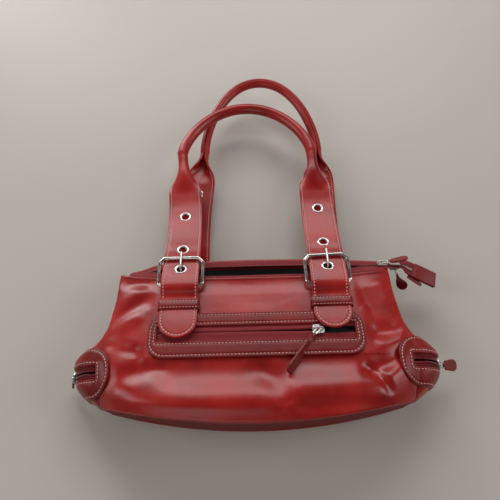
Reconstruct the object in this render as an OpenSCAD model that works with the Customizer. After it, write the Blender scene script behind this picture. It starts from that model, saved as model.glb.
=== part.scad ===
// Leather shoulder handbag, lying on its back with both handles laid out.
// +X runs to the bag's own right as seen from the front, +Y from the base to the handles,
// +Z out of the front panel. The origin is the middle of the flat that the back rests on.

/* [Body] */
// Width between the two top corners
top_w = 287; // [260:1:310]
// Width between the side seams at the level of the end pockets
belly_w = 303; // [290:1:320]
// Distance from the resting flat's middle to the base seam
base_y = 36; // [30:1:44]
// How far the base corners are drawn up from the middle of the base seam
base_corner_rise = 19; // [10:1:26]
// Height of the front's top edge above the resting flat's middle
front_top_y = 112; // [104:1:120]
// How far the front's top corners stand above the middle of its top edge
top_corner_rise = 10; // [4:1:14]
// Height of the front's top edge above the ground
front_top_z = 52; // [48:1:58]
// Slope of the flat upper front, in degrees
front_slope = 10; // [7:0.5:12]
// Crown of the lower front above that slope
belly_crown = 7; // [4:0.5:9]
// How far the base seam falls below that crowned line
base_drop = 11; // [8:0.5:13]
// How far the sides of the front fall away at the top
side_fall_top = 8; // [6:0.5:10]
// How far the sides of the front fall away at the base
side_fall_base = 40; // [34:0.5:44]
// Height of the back's top edge along the bag
back_top_y = 146; // [140:1:152]
// Hollow between the back's hardware and the ground
back_hollow = 15.6; // [15.6:0.1:19]
// Thickness of the leather panels
panel_t = 2; // [1.6:0.1:2.4]
// Outward bow of the base between its seams
base_bow = 4; // [1:0.5:6]
// Gap left in every seam
seam_gap = 0.3; // [0.2:0.05:0.5]
// Thickness of the lining
lining_t = 0.8; // [0.6:0.1:1]

/* [Front pocket] */
// Length of the pocket frame
pocket_l = 209; // [190:1:214]
// Height of the pocket frame
pocket_h = 44; // [40:1:48]
// Corner radius of the pocket frame
pocket_r = 13; // [8:0.5:16]
// Length of the slot
slot_l = 191; // [170:1:196]
// Height of the slot
slot_h = 12.5; // [11.5:0.5:14]
// How far the slot sits above the frame's middle line
slot_up = 1.5; // [0:0.5:3]
// Height of the frame's middle along the bag
pocket_y = 47.5; // [45:0.5:50]
// Thickness of the trim leather
trim_t = 1.5; // [1.2:0.1:1.8]
// Depth of the pocket pouch below its slot
pouch_h = 62; // [50:1:70]

/* [Zips] */
// Thickness of the zip tape
tape_t = 0.8; // [0.6:0.1:1]
// Height of the zip teeth
teeth_h = 2.2; // [1.8:0.1:2.4]
// Width of one row of teeth
teeth_w = 2.6; // [2.2:0.1:3]
// Gap between the two rows where the zip is closed
row_gap = 1.2; // [1:0.1:1.6]
// Distance from tooth to tooth
tooth_pitch = 3; // [2.4:0.1:4]
// Widest opening of the mouth zip
mouth_gap = 17; // [12:0.5:20]
// Length of a slider
slider_l = 11; // [9:0.5:12]
// Width of a slider
slider_w = 9.4; // [9.2:0.1:10]
// Thickness of a slider's plates
plate_t = 1.1; // [0.9:0.1:1.3]
// Place of the pocket slider along the slot
pocket_slider_x = 60; // [40:1:62]
// Length of the pocket's pull
pocket_pull_l = 44; // [36:1:48]
// Length of the mouth and end pulls
small_pull_l = 27; // [20:1:30]
// Length of the leather tab on the end of the mouth zip
end_tab_l = 29; // [24:1:32]
// Width of that tab
end_tab_w = 16; // [12:0.5:18]

/* [End pockets] */
// Height of the end pocket frame along the bag
end_frame_h = 50; // [44:1:54]
// Middle of the end pocket along the bag
end_y = 22; // [18:0.5:25]
// How far the frame reaches over the front and the back
end_reach = 19; // [12:1:22]
// Height of its slot
end_slot_h = 12.5; // [11.5:0.5:14]

/* [Straps and buckles] */
// Half the distance between the left and right straps
strap_x = 76; // [72:0.5:80]
// Sideways shift of the back's straps
back_shift = 6; // [0:0.5:8]
// Width of the straps
strap_w = 38; // [34:0.5:38.5]
// Thickness of the straps
strap_t = 3; // [2.6:0.1:3]
// Wire diameter of the buckles
buckle_wire = 3.5; // [3:0.1:3.6]
// Width of the buckles between the wires' centres
buckle_w = 45; // [44.6:0.1:46]
// Length of the buckles between the wires' centres
buckle_l = 33.5; // [32:0.5:35]
// Corner cut of the buckles
buckle_corner = 5; // [3:0.5:6]
// Diameter of the prongs
prong_d = 2.6; // [2.2:0.1:2.8]
// Place of the heel bar of the front buckles along the bag
heel_y = 97; // [95:0.5:98]
// Place of the heel bar of the back buckles along the bag
back_heel_y = 119; // [117:0.5:121]
// Width of the keepers along the strap
keeper_w = 10.5; // [8:0.5:12]
// Outer diameter of the eyelets
eyelet_d = 13.6; // [12.5:0.1:14.5]
// Hole through the eyelets
eyelet_hole = 8; // [7.6:0.1:8.6]
// Distance between the eyelets of a handle strap
eyelet_pitch = 50; // [44:1:52]

/* [Handles] */
// Diameter of the rolled grips
grip_d = 11.5; // [10:0.5:11.5]
// Place of the front handle's grip ends along the bag
front_seam_y = 283; // [275:1:288]
// Rise of the front grip's arch
front_arch = 72; // [64:1:78]
// Half width of the front grip at its ends
front_half = 79; // [74:0.5:82]
// Place of the back handle's grip ends along the bag
back_seam_y = 298; // [292:1:304]
// Rise of the back grip's arch
back_arch = 103; // [96:1:108]
// Half width of the back grip at its ends
back_half = 75; // [71:0.5:78]
// Length over which the strap rolls into the grip
shoulder_l = 38; // [28:1:44]

/* [Hidden] */

leather = "#a01d20";
trim_leather = "#8e1a1c";
tape_red = "#8a1218";
steel = "#c9c8c6";
black = "#161416";

$fn = 32;
eps = 0.01;
seat = 0.3;
grid_x = 24;
grid_y = 14;
grid_z = 6;

// ---- derived sizes ---------------------------------------------------------------------
row_out = row_gap / 2 + teeth_w + 0.05;
pouch_t = 4.2;
pocket_tape_z = seat + tape_t / 2;
pocket_frame_z = seat + tape_t + 0.1;
pocket_top_z = pocket_frame_z + trim_t;
// Mouth zip
zip_s = (2 * (front_top_y + top_corner_rise + back_top_y - 14) / 2 - front_top_y - front_top_z) / sqrt(2);
open_l = top_w * 0.4;
tape_x = top_w / 2 - 4.5;
tail_x = top_w / 2 + 17;
tail_half = 8;
tail_l = 16;
slider_a_x = top_w / 2 - 4.5;
slider_b_x = slider_a_x + slider_l + 2;
// Slider bail, link and pull
bail_r = 0.7;
bail_span = 0.36;
link_r = 0.55;
link_half = 2.4;
pocket_link_half = 1.7;
link_l = 7.5;
pull_t = 2.4;
pull_z = teeth_h / 2 + 0.25 + plate_t + 0.5 + link_r;
bail_z = pull_z + link_r + 0.25 + bail_r;
// Buckle stack over a panel
loop_i = buckle_wire / 2 + 0.85;
loop_o = loop_i + 1.4;
heel_z = seat + loop_o;
chape_w = strap_w - 4;
chape_l = 26.5;
over_z = heel_z + loop_o + seat + strap_t / 2 + 0.2;
tip_z = pocket_top_z + 0.4 + strap_t / 2;
under_z = 6.3;
bar_z = under_z + strap_t / 2 + buckle_wire / 2 + 0.95;
buckle_tilt = asin((bar_z - heel_z) / buckle_l);
bar_y = buckle_l * cos(buckle_tilt);
prong_z = bar_z + buckle_wire / 2 + prong_d / 2 + 0.05;
buckle_yaw = 2;
eyelet_y = 19.3;
eyelet_tilt = atan((over_z - 0.55 - under_z - 0.7) / 16.6);
eyelet_z = over_z - 0.55 - tan(eyelet_tilt) * (eyelet_y - 11);
keeper_y = -16.6;
keeper_half = strap_w / 2 + 0.4;
keeper_top = tip_z + strap_t / 2 + 0.3;
tip_l = 50;
hinge_y = 44;
hinge_z = 5.3;

// ---- outline of the body -------------------------------------------------------------
top_half = top_w / 2;
belly_half = belly_w / 2;
flat_y = pocket_y - pocket_h / 2 - 1.5;
front_corner_y = front_top_y + top_corner_rise;
mouth_sum = front_top_y + front_top_z;
back_corner_drop = 11;
back_hard_y = back_heel_y - 52;
gusset_tuck = 7;

// Half width of the front and back panels at a place along the bag
function half_w(y) = lookup(y, [
    [-base_y + base_corner_rise, belly_half - 4],
    [end_y - 20, belly_half - 0.8],
    [end_y, belly_half],
    [end_y + 26, belly_half - 2.5],
    [front_top_y - 50, top_half + 3],
    [front_top_y - 20, top_half],
    [front_corner_y, top_half]
]);
// Height of the front panel over the ground along the bag's middle line
function below(y) = max(0, flat_y - y) / (flat_y + base_y);
function front_mid(y) =
    front_top_z + tan(front_slope) * (front_top_y - y) + belly_crown * sin(130 * below(y)) - base_drop * pow(below(y), 2);
function side_fall(y) = side_fall_top + (side_fall_base - side_fall_top) * below(y);
function front_z(x, y) = front_mid(y) - side_fall(y) * pow(min(1, abs(x) / half_w(y)), 7 - 3 * below(y));
// Height of the back panel: flat on the ground, hollow where the hardware lies under it
function back_sag(x) = let (u = min(1, abs(x - back_shift) / 49)) pow(1 - u * u, 2);
function back_mid(x, y) =
    lookup(y, [[28, 0], [back_hard_y - 14, back_hollow * 0.62], [back_hard_y - 4, back_hollow], [200, back_hollow]])
    * (1 - back_sag(x) * (1 - lookup(y, [[100, 0], [back_top_y - 6, 1]])));
function back_z(x, y) =
    back_mid(x, y) + lookup(y, [[back_top_y - 16, 0], [back_top_y, mouth_sum - back_top_y - panel_t / 2 - back_hollow]])
    + pow(min(1, abs(x) / half_w(y)), 5) * lookup(y, [[-base_y, 6], [60, 4], [100, 2], [back_top_y - back_corner_drop, mouth_sum - back_top_y + back_corner_drop - back_hollow - 1.2]]);
function front_base_y(a) = -base_y + base_corner_rise * a * a;
function front_edge_y(a) = front_top_y + top_corner_rise * pow(a, 4);
function back_edge_y(a) = back_top_y - back_corner_drop * a * a;

// Points of the front and back panels: a across from -1 to 1, b up from 0 to 1, d into the bag
function ease(u) = let (v = max(0, min(1, u))) v * v * (3 - 2 * v);
function front_pt(a, b, d) =
    let (y = front_base_y(a) + b * (front_edge_y(a) - front_base_y(a)), x = a * half_w(y), w = ease((b - 0.85) / 0.15))
    [x, y, (1 - w) * front_z(x, y) + w * (mouth_sum - front_edge_y(a)) - d];
function back_pt(a, b, d) =
    let (y = front_base_y(a) + b * (back_edge_y(a) - front_base_y(a)), x = a * half_w(y), w = ease((b - 0.8) / 0.2))
    [x, y, (1 - w) * back_z(x, y) + w * (mouth_sum - back_edge_y(a) - panel_t / 2) + d];
// Points of the base: c from the back seam to the front seam
function base_pt(a, c, d) =
    let (y = front_base_y(a), x = a * half_w(y), lo = back_z(x, y) + panel_t + seam_gap, hi = front_z(x, y) - panel_t - seam_gap)
    [x, y + d - base_bow * sin(180 * c) * (1 - a * a), lo + c * (hi - lo)];
// Bulge of an end at a place along the bag; a half circle at the end pocket's middle
function end_mid_z(y) = (front_z(half_w(y), y) + back_z(half_w(y), y)) / 2;
function end_half_d(y) = (front_z(half_w(y), y) - back_z(half_w(y), y)) / 2;
end_r = end_half_d(end_y);
function bulge(y) = lookup(y, [
    [-base_y + base_corner_rise, 1.5], [end_y - 33, end_r * 0.42], [end_y - 25, end_r * 0.7], [end_y - 15, end_r * 0.92],
    [end_y - 7, end_r], [end_y + 8, end_r], [end_y + 18, end_r * 0.66], [end_y + 26, end_r * 0.32], [end_y + 40, 3], [front_corner_y, 0.5]
]);
// Points of an end: c round from back to front, b up, d into the bag
function end_pt(c, b, d) =
    let (
        y0 = -base_y + base_corner_rise + panel_t + seam_gap,
        y1 = back_top_y - back_corner_drop - gusset_tuck + c * (front_corner_y - back_top_y + back_corner_drop),
        y = y0 + b * (y1 - y0), q = 180 * c - 90, r = end_half_d(y) - panel_t - seam_gap
    )
    [half_w(y) + (bulge(y) - d) * cos(q), y, end_mid_z(y) + (r - d) * sin(q)];

// ---- values that follow from the outline -----------------------------------------------
wrap_turn = end_r * PI / 2;
end_frame_o = 0.8;
end_zip_r = end_r - 0.2;
end_slider_l = 8;
front_start_y = heel_y + hinge_y * cos(front_slope) + (hinge_z - strap_t / 2) * sin(front_slope);
front_start_z = front_mid(heel_y) - hinge_y * sin(front_slope) + (hinge_z - strap_t / 2) * cos(front_slope);
back_start_y = back_heel_y + hinge_y;
back_start_z = back_hollow - hinge_z + strap_t / 2;

// A sheet between two surfaces over the same grid: outer(u, v) and inner(u, v), u and v from 0 to 1
module thick_sheet(nu, nv, outer, inner) {
    n = (nu + 1) * (nv + 1);
    function id(i, j) = i * (nv + 1) + j;
    polyhedron(
        points = concat(
            [for (i = [0:nu]) for (j = [0:nv]) outer(i / nu, j / nv)],
            [for (i = [0:nu]) for (j = [0:nv]) inner(i / nu, j / nv)]
        ),
        faces = concat(
            [for (i = [0:nu - 1]) for (j = [0:nv - 1]) each [[id(i, j), id(i, j + 1), id(i + 1, j + 1)], [id(i, j), id(i + 1, j + 1), id(i + 1, j)]]],
            [for (i = [0:nu - 1]) for (j = [0:nv - 1]) each [[n + id(i, j), n + id(i + 1, j + 1), n + id(i, j + 1)], [n + id(i, j), n + id(i + 1, j), n + id(i + 1, j + 1)]]],
            [for (i = [0:nu - 1]) each [[id(i, 0), id(i + 1, 0), n + id(i + 1, 0)], [id(i, 0), n + id(i + 1, 0), n + id(i, 0)]]],
            [for (i = [0:nu - 1]) each [[id(i, nv), n + id(i + 1, nv), id(i + 1, nv)], [id(i, nv), n + id(i, nv), n + id(i + 1, nv)]]],
            [for (j = [0:nv - 1]) each [[id(0, j), n + id(0, j + 1), id(0, j + 1)], [id(0, j), n + id(0, j), n + id(0, j + 1)]]],
            [for (j = [0:nv - 1]) each [[id(nu, j), id(nu, j + 1), n + id(nu, j + 1)], [id(nu, j), n + id(nu, j + 1), n + id(nu, j)]]]
        )
    );
}

// ---- frames that pieces are placed in -------------------------------------------------
module at_pocket() translate([0, pocket_y, front_mid(pocket_y)]) rotate([-front_slope, 0, 0]) children();
module at_mouth() translate([0, mouth_sum / 2, mouth_sum / 2]) rotate([-45, 0, 0]) children();
module at_tail() at_mouth() translate([tail_x, zip_s, 0]) rotate([0, 13, -6]) children();
module at_end(side) mirror([side < 0 ? 1 : 0, 0, 0]) translate([half_w(end_y), end_y, end_mid_z(end_y)]) children();
module at_front_station(side) translate([side * strap_x, heel_y, front_mid(heel_y)]) rotate([-front_slope, 0, 0]) children();
module at_back_station(side) translate([back_shift + side * strap_x, back_heel_y, back_hollow]) mirror([0, 0, 1]) children();
module at_end_slider(side) at_end(side) translate([end_zip_r, 0, 0]) rotate([0, 90, 0]) children();

// ---- body panels ----------------------------------------------------------------------
module end_slots() {
    for (side = [-1, 1])
        at_end(side)
            translate([-6, -end_slot_h / 2, -end_r - 20]) cube([end_r + 20, end_slot_h, 2 * end_r + 40]);
}
module front_panel() color(leather) difference() {
    thick_sheet(grid_x, grid_y, function(u, v) front_pt(2 * u - 1, v, 0), function(u, v) front_pt(2 * u - 1, v, panel_t));
    at_pocket() translate([-slot_l / 2, slot_up - slot_h / 2, -9]) cube([slot_l, slot_h, 20]);
    end_slots();
}
module back_panel() color(leather) difference() {
    thick_sheet(grid_x, grid_y, function(u, v) back_pt(1 - 2 * u, v, 0), function(u, v) back_pt(1 - 2 * u, v, panel_t));
    end_slots();
}
module base_panel() color(leather)
    thick_sheet(grid_x, grid_z, function(u, v) base_pt(2 * u - 1, v, 0), function(u, v) base_pt(2 * u - 1, v, panel_t));
// Rows of the gusset: closer together round its pocket
function end_row(u) = lookup(u, [[0, 0], [0.7, 0.52], [1, 1]]);
module gusset(side) color(leather) difference() {
    mirror([side < 0 ? 1 : 0, 0, 0])
        thick_sheet(18, 10, function(u, v) end_pt(v, end_row(u), 0), function(u, v) end_pt(v, end_row(u), panel_t));
    end_slots();
}
module left_gusset() gusset(-1);
module right_gusset() gusset(1);

// The lining hangs inside the panels, further in at the front and the ends where pockets lie
module lining() color(black) {
    back_in = panel_t + 0.5;
    front_in = panel_t + pouch_t + 2 * seat;
    end_in = 5;
    in_a = 1 - 2 / grid_x;
    in_b = function(v) (1 + (grid_y - 2) * v) / grid_y;
    side_a = 0.955;
    thick_sheet(grid_x - 2, grid_y - 2, function(u, v) front_pt(in_a * (2 * u - 1), in_b(v), front_in),
        function(u, v) front_pt(in_a * (2 * u - 1), in_b(v), front_in + lining_t));
    thick_sheet(grid_x - 2, grid_y - 2, function(u, v) back_pt(in_a * (1 - 2 * u), in_b(v), back_in),
        function(u, v) back_pt(in_a * (1 - 2 * u), in_b(v), back_in + lining_t));
    thick_sheet(grid_x, 3, function(u, v) base_pt(side_a * (2 * u - 1), 0.02 + 0.96 * v, panel_t + 0.4),
        function(u, v) base_pt(side_a * (2 * u - 1), 0.02 + 0.96 * v, panel_t + 0.4 + lining_t));
    for (m = [0, 1])
        mirror([m, 0, 0])
            thick_sheet(12, 6, function(u, v) end_pt(v, 0.04 + 0.94 * end_row(u), end_in), function(u, v) end_pt(v, 0.04 + 0.94 * end_row(u), end_in + lining_t));
}

// ---- front pocket ---------------------------------------------------------------------
module rounded_box(l, w, r, h) {
    linear_extrude(h) {
        square([l - 2 * r, w], center = true);
        square([l, w - 2 * r], center = true);
        for (x = [-1, 1]) for (y = [-1, 1]) translate([x * (l / 2 - r), y * (w / 2 - r)]) circle(r);
    }
}
module pocket_pouch() color(black) {
    x1 = slot_l / 2 + 5;
    y1 = pocket_y + slot_up + slot_h / 2 + 6;
    y0 = pocket_y - pouch_h + 12;
    wall = lining_t;
    difference() {
        thick_sheet(16, 8, function(u, v) let (x = x1 * (2 * u - 1), y = y0 + v * (y1 - y0)) [x, y, front_z(x, y) - panel_t - seat],
            function(u, v) let (x = x1 * (2 * u - 1), y = y0 + v * (y1 - y0)) [x, y, front_z(x, y) - panel_t - seat - pouch_t + wall]);
        thick_sheet(16, 8, function(u, v) let (x = (x1 - wall) * (2 * u - 1), y = y0 + wall + v * (y1 - y0 - 2 * wall)) [x, y, front_z(x, y) - panel_t - seat - wall],
            function(u, v) let (x = (x1 - wall) * (2 * u - 1), y = y0 + wall + v * (y1 - y0 - 2 * wall)) [x, y, front_z(x, y) - panel_t - seat - pouch_t + 2 * wall]);
        at_pocket() translate([-slot_l / 2, slot_up - slot_h / 2, -panel_t - 2.2]) cube([slot_l, slot_h, 12]);
    }
}
module pocket_frame() color(trim_leather) at_pocket() translate([0, 0, pocket_frame_z])
    difference() {
        rounded_box(pocket_l, pocket_h, pocket_r, trim_t);
        translate([-slot_l / 2, slot_up - slot_h / 2, -1]) cube([slot_l, slot_h, trim_t + 2]);
    }
module pocket_tapes() color(tape_red) at_pocket() translate([0, slot_up, pocket_tape_z])
    for (s = [-1, 1])
        translate([-slot_l / 2 - 4, s > 0 ? row_out : -slot_h / 2 - 5, -tape_t / 2]) cube([slot_l + 8, slot_h / 2 + 5 - row_out, tape_t]);

// A row of zip teeth along X: inner(x) is the distance of the tooth tips from the middle line
module teeth_row(x0, x1, s, inner) {
    n = floor((x1 - x0) / tooth_pitch);
    bite = teeth_w * 0.32;
    translate([0, 0, -teeth_h / 2])
        linear_extrude(teeth_h)
            polygon(concat(
                [for (i = [0:n - 1]) let (x = x0 + i * tooth_pitch) each [
                    [x, s * inner(x)], [x + tooth_pitch * 0.55, s * inner(x)],
                    [x + tooth_pitch * 0.55, s * (inner(x) + bite)], [x + tooth_pitch * 0.98, s * (inner(x) + bite)]
                ]],
                [for (i = [n:-1:0]) let (x = x0 + i * tooth_pitch) [x, s * (inner(x) + teeth_w)]]
            ));
}
module pocket_teeth() color(tape_red) at_pocket() translate([0, slot_up, pocket_tape_z])
    for (s = [-1, 1]) teeth_row(-slot_l / 2 + 1, slot_l / 2 - 1, s, function(x) row_gap / 2);

// ---- zip sliders and pulls ------------------------------------------------------------
// A round wire bent in the X-Y plane: straight rods run a little way into true elbows of the bend radius
function heading(a, b) = atan2(b[1] - a[1], b[0] - a[0]);
function pick(p, i) = p[(i + len(p)) % len(p)];
function turn_at(p, i) =
    let (t = heading(p[i], pick(p, i + 1)) - heading(pick(p, i - 1), p[i])) t > 180 ? t - 360 : t < -180 ? t + 360 : t;
function cut_at(p, i, bend, closed) = !closed && (i % len(p) == 0 || i == len(p) - 1) ? 0 : bend * tan(abs(turn_at(p, i % len(p))) / 2);
module wire(p, r, bend, closed = false) {
    run_in = 0.2;
    swell = 0.02;
    for (i = [0:len(p) - (closed ? 1 : 2)]) {
        h = heading(p[i], pick(p, i + 1));
        c0 = cut_at(p, i, bend, closed);
        c1 = cut_at(p, (i + 1) % len(p), bend, closed);
        a = c0 > 0 ? c0 - run_in : 0;
        b = c1 > 0 ? c1 - run_in : 0;
        translate([p[i][0], p[i][1], 0]) rotate([0, 0, h]) translate([a, 0, 0]) rotate([0, 90, 0])
            cylinder(h = norm(pick(p, i + 1) - p[i]) - a - b, r = r);
    }
    for (i = [(closed ? 0 : 1):len(p) - (closed ? 1 : 2)]) {
        t = turn_at(p, i);
        h = heading(pick(p, i - 1), p[i]);
        translate([p[i][0], p[i][1], 0]) rotate([0, 0, h]) translate([-cut_at(p, i, bend, closed), sign(t) * bend, 0])
            rotate([0, 0, t > 0 ? -90 : 90 + t]) rotate_extrude(angle = abs(t)) translate([bend, 0]) circle(r + swell);
    }
}
// A slider on a zip that runs along X, its bail on the +Z side
module slider(length = slider_l, under = 0) {
    top = teeth_h / 2 + 0.25;
    bail = bail_span * length;
    color(steel) {
        translate([0, 0, top + plate_t / 2]) slider_plate(length);
        translate([0, 0, -top - under - plate_t / 2]) slider_plate(length);
        translate([length * 0.18, -row_gap / 3, -top - under - plate_t / 2]) cube([length * 0.28, row_gap * 2 / 3, 2 * top + under + plate_t]);
        for (s = [-1, 1])
            translate([-length * 0.4, s > 0 ? slider_w / 2 - 0.75 : -slider_w / 2, tape_t / 2 + 0.35])
                cube([length * 0.8, 0.75, top - tape_t / 2 + 0.1]);
        rotate([90, 0, 0])
            wire([[-bail, top + plate_t / 2], [-bail, bail_z], [bail, bail_z], [bail, top + plate_t / 2]], bail_r, 1);
    }
}
// One plate: broad at the shoulder, narrow at the tail
module slider_plate(length) {
    translate([0, 0, -plate_t / 2])
        linear_extrude(plate_t)
            polygon([[length / 2, -slider_w / 2 + 1.2], [length / 2 - 1.6, -slider_w / 2], [-length * 0.42, -slider_w / 2], [-length / 2, -slider_w / 2 + 1.6],
                [-length / 2, slider_w / 2 - 1.6], [-length * 0.42, slider_w / 2], [length / 2 - 1.6, slider_w / 2], [length / 2, slider_w / 2 - 1.2]]);
}
// The wire link and the leather pull lie along X from the hinge under the bail
module at_pull(yaw, pitch) translate([0, 0, pull_z]) rotate([0, 0, yaw]) rotate([0, pitch, 0]) children();
module link(half = link_half) color(steel)
    wire([[0, -half], [0, half], [link_l, half], [link_l, -half]], link_r, 0.9, true);
module pull(length, w0, w1, half = link_half) color(trim_leather) difference() {
    neck = half - link_r - 0.1;
    union() {
        translate([link_l, 0, 0]) rotate([90, 0, 0]) cylinder(h = 2 * neck, r = pull_t / 2, center = true);
        translate([0, 0, -pull_t / 2]) linear_extrude(pull_t) {
            translate([link_l, -neck]) square([4, 2 * neck]);
            polygon([[link_l + 2.2, -w0 / 2], [link_l + 2.2, w0 / 2], [length - w1 / 2, w1 / 2], [length - w1 / 2, -w1 / 2]]);
            translate([length - w1 / 2, 0]) circle(w1 / 2);
        }
    }
    translate([link_l, 0, 0]) rotate([90, 0, 0]) cylinder(h = 2 * neck + 1, r = link_r + 0.08, center = true);
}
module at_pocket_slider() at_pocket() translate([pocket_slider_x, slot_up, pocket_tape_z]) children();
module at_slider_a() at_mouth() translate([slider_a_x, zip_s, 0]) children();
module at_slider_b() at_mouth() translate([slider_b_x, zip_s, 0]) mirror([0, 0, 1]) children();
module pocket_slider() at_pocket_slider() slider();
module pocket_link() at_pocket_slider() at_pull(-130, -2) link(pocket_link_half);
module pocket_pull() at_pocket_slider() at_pull(-130, -2) pull(pocket_pull_l, 7, 11, pocket_link_half);
module mouth_slider_a() at_slider_a() slider();
module mouth_link_a() at_slider_a() at_pull(-8, -12) link();
module mouth_pull_a() at_slider_a() at_pull(-8, -12) pull(small_pull_l, 9, 12);
module mouth_slider_b() at_slider_b() slider();
module mouth_link_b() at_slider_b() at_pull(-14, -62) link();
module mouth_pull_b() at_slider_b() at_pull(-14, -62) pull(small_pull_l, 9, 12);

// ---- mouth zip ------------------------------------------------------------------------
function along_plane(y) = (2 * y - mouth_sum) / sqrt(2);
function front_tape_s(x) = along_plane(front_edge_y(x / top_half) + seat + tape_t + 0.3);
function back_tape_s(x) = along_plane(back_edge_y(x / top_half) - seat - tape_t - 1.2);
function open_half(x) = mouth_gap / 2 * max(0, 1 - pow(x / open_l, 2));
function row_in(x) = row_gap / 2 + open_half(x);
module mouth_tape(s) {
    color(tape_red) {
        at_mouth() translate([0, 0, -tape_t / 2]) linear_extrude(tape_t)
            polygon(concat(
                [for (x = [-tape_x:8:tape_x]) [x, s < 0 ? front_tape_s(x) : back_tape_s(x)]],
                [[tape_x + 0.1, zip_s + s * tail_half], [tail_x, zip_s + s * tail_half]],
                [for (x = [tail_x, each [tape_x:-8:-tape_x]]) [x, zip_s + s * (row_in(x) + teeth_w + 0.05)]]
            ));
        at_tail() translate([1, s > 0 ? row_in(tail_x) : -tail_half, -tape_t / 2]) cube([tail_l, tail_half - row_in(tail_x), tape_t]);
    }
}
module mouth_tape_front() mouth_tape(-1);
module mouth_tape_back() mouth_tape(1);
module mouth_teeth(s) color(tape_red) at_mouth() translate([0, zip_s, 0]) teeth_row(-tape_x + 2, tail_x - 0.5, s, function(x) row_in(x));
module mouth_teeth_front() mouth_teeth(-1);
module mouth_teeth_back() mouth_teeth(1);
// The end of the tapes is closed in a folded leather tab
module mouth_end_tab() color(trim_leather) at_tail()
    for (s = [-1, 1])
        translate([0, 0, s > 0 ? tape_t / 2 + 0.05 : -tape_t / 2 - 0.05 - trim_t])
            linear_extrude(trim_t)
                polygon([[tail_l - 6, -end_tab_w / 2], [tail_l - 6 + end_tab_l, -end_tab_w / 2 - 1], [tail_l - 3 + end_tab_l, end_tab_w / 2 - 1], [tail_l - 4, end_tab_w / 2]]);

// ---- end pockets ----------------------------------------------------------------------
// A point of the leather frame that wraps an end: l along the wrap from its ridge, o outwards
function wrap_pt(l, y, o) =
    abs(l) <= wrap_turn
        ? let (q = 90 * l / wrap_turn) [half_w(y) + (bulge(y) + o) * cos(q), y, end_mid_z(y) + (end_half_d(y) + o) * sin(q)]
        : let (x = half_w(y) - (abs(l) - wrap_turn)) [x, y, l > 0 ? front_z(x, y) + o : back_z(x, y) - o];
// Half-round ended outline of half length a and half height b, with ns steps on each straight and nc on each end
function stadium(a, b, ns, nc) = concat(
    [for (i = [0:nc]) let (q = -90 + 180 * i / nc) [a - b + b * cos(q), b * sin(q)]],
    [for (i = [1:ns - 1]) [(a - b) * (1 - 2 * i / ns), b]],
    [for (i = [0:nc]) let (q = 90 + 180 * i / nc) [b - a + b * cos(q), b * sin(q)]],
    [for (i = [1:ns - 1]) [(a - b) * (2 * i / ns - 1), -b]]
);
module wrapped_ring(outer, inner, steps, o0, o1) {
    n = len(outer);
    m = steps + 1;
    function at(i, k, o) = let (p = inner[i] + (outer[i] - inner[i]) * k / steps) wrap_pt(p[0], end_y + p[1], o);
    function id(i, k, s) = s * n * m + (i % n) * m + k;
    polyhedron(
        points = [for (o = [o1, o0]) for (i = [0:n - 1]) for (k = [0:steps]) at(i, k, o)],
        faces = concat(
            [for (i = [0:n - 1]) for (k = [0:steps - 1]) each [[id(i, k, 0), id(i + 1, k, 0), id(i + 1, k + 1, 0)], [id(i, k, 0), id(i + 1, k + 1, 0), id(i, k + 1, 0)]]],
            [for (i = [0:n - 1]) for (k = [0:steps - 1]) each [[id(i, k, 1), id(i + 1, k + 1, 1), id(i + 1, k, 1)], [id(i, k, 1), id(i, k + 1, 1), id(i + 1, k + 1, 1)]]],
            [for (i = [0:n - 1]) each [[id(i, 0, 0), id(i + 1, 0, 1), id(i + 1, 0, 0)], [id(i, 0, 0), id(i, 0, 1), id(i + 1, 0, 1)]]],
            [for (i = [0:n - 1]) each [[id(i, steps, 0), id(i + 1, steps, 0), id(i + 1, steps, 1)], [id(i, steps, 0), id(i + 1, steps, 1), id(i, steps, 1)]]]
        )
    );
}
module end_frame(side) color(trim_leather) mirror([side < 0 ? 1 : 0, 0, 0])
    wrapped_ring(stadium(wrap_turn + end_reach, end_frame_h / 2, 12, 8), stadium(wrap_turn + 5, end_slot_h / 2, 12, 8), 3, end_frame_o, end_frame_o + trim_t);
module left_end_frame() end_frame(-1);
module right_end_frame() end_frame(1);
module end_arc(a, r0, r1, y0, y1) rotate([90, 0, 0]) rotate([0, 0, -a]) rotate_extrude(angle = 2 * a, $fn = 64) translate([r0, -y1]) square([r1 - r0, y1 - y0]);
module end_tapes(side) color(tape_red) at_end(side) {
    end_arc(80, end_zip_r - tape_t / 2, end_zip_r + tape_t / 2, row_out, end_slot_h / 2 - 0.2);
    end_arc(80, end_zip_r - tape_t / 2, end_zip_r + tape_t / 2, -end_slot_h / 2 + 0.2, -row_out);
}
module left_end_tapes() end_tapes(-1);
module right_end_tapes() end_tapes(1);
module end_teeth(side) color(tape_red) at_end(side) {
    step = tooth_pitch / end_zip_r * 180 / PI;
    for (q = [-74:step:74])
        for (s = [-1, 1])
            rotate([0, q, 0])
                translate([end_zip_r, s * (row_gap / 2 + teeth_w / 2), 0]) cube([teeth_h, teeth_w, tooth_pitch * 0.62], center = true);
}
module left_end_teeth() end_teeth(-1);
module right_end_teeth() end_teeth(1);
module end_slider(side) at_end_slider(side) slider(end_slider_l, 0.5);
module left_end_slider() end_slider(-1);
module right_end_slider() end_slider(1);
module left_end_link() at_end_slider(-1) at_pull(0, -18) link();
module right_end_link() at_end_slider(1) at_pull(12, -56) link();
module left_end_pull() at_end_slider(-1) at_pull(0, -18) pull(small_pull_l, 9, 12);
module right_end_pull() at_end_slider(1) at_pull(12, -56) pull(small_pull_l, 9, 12);

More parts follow.
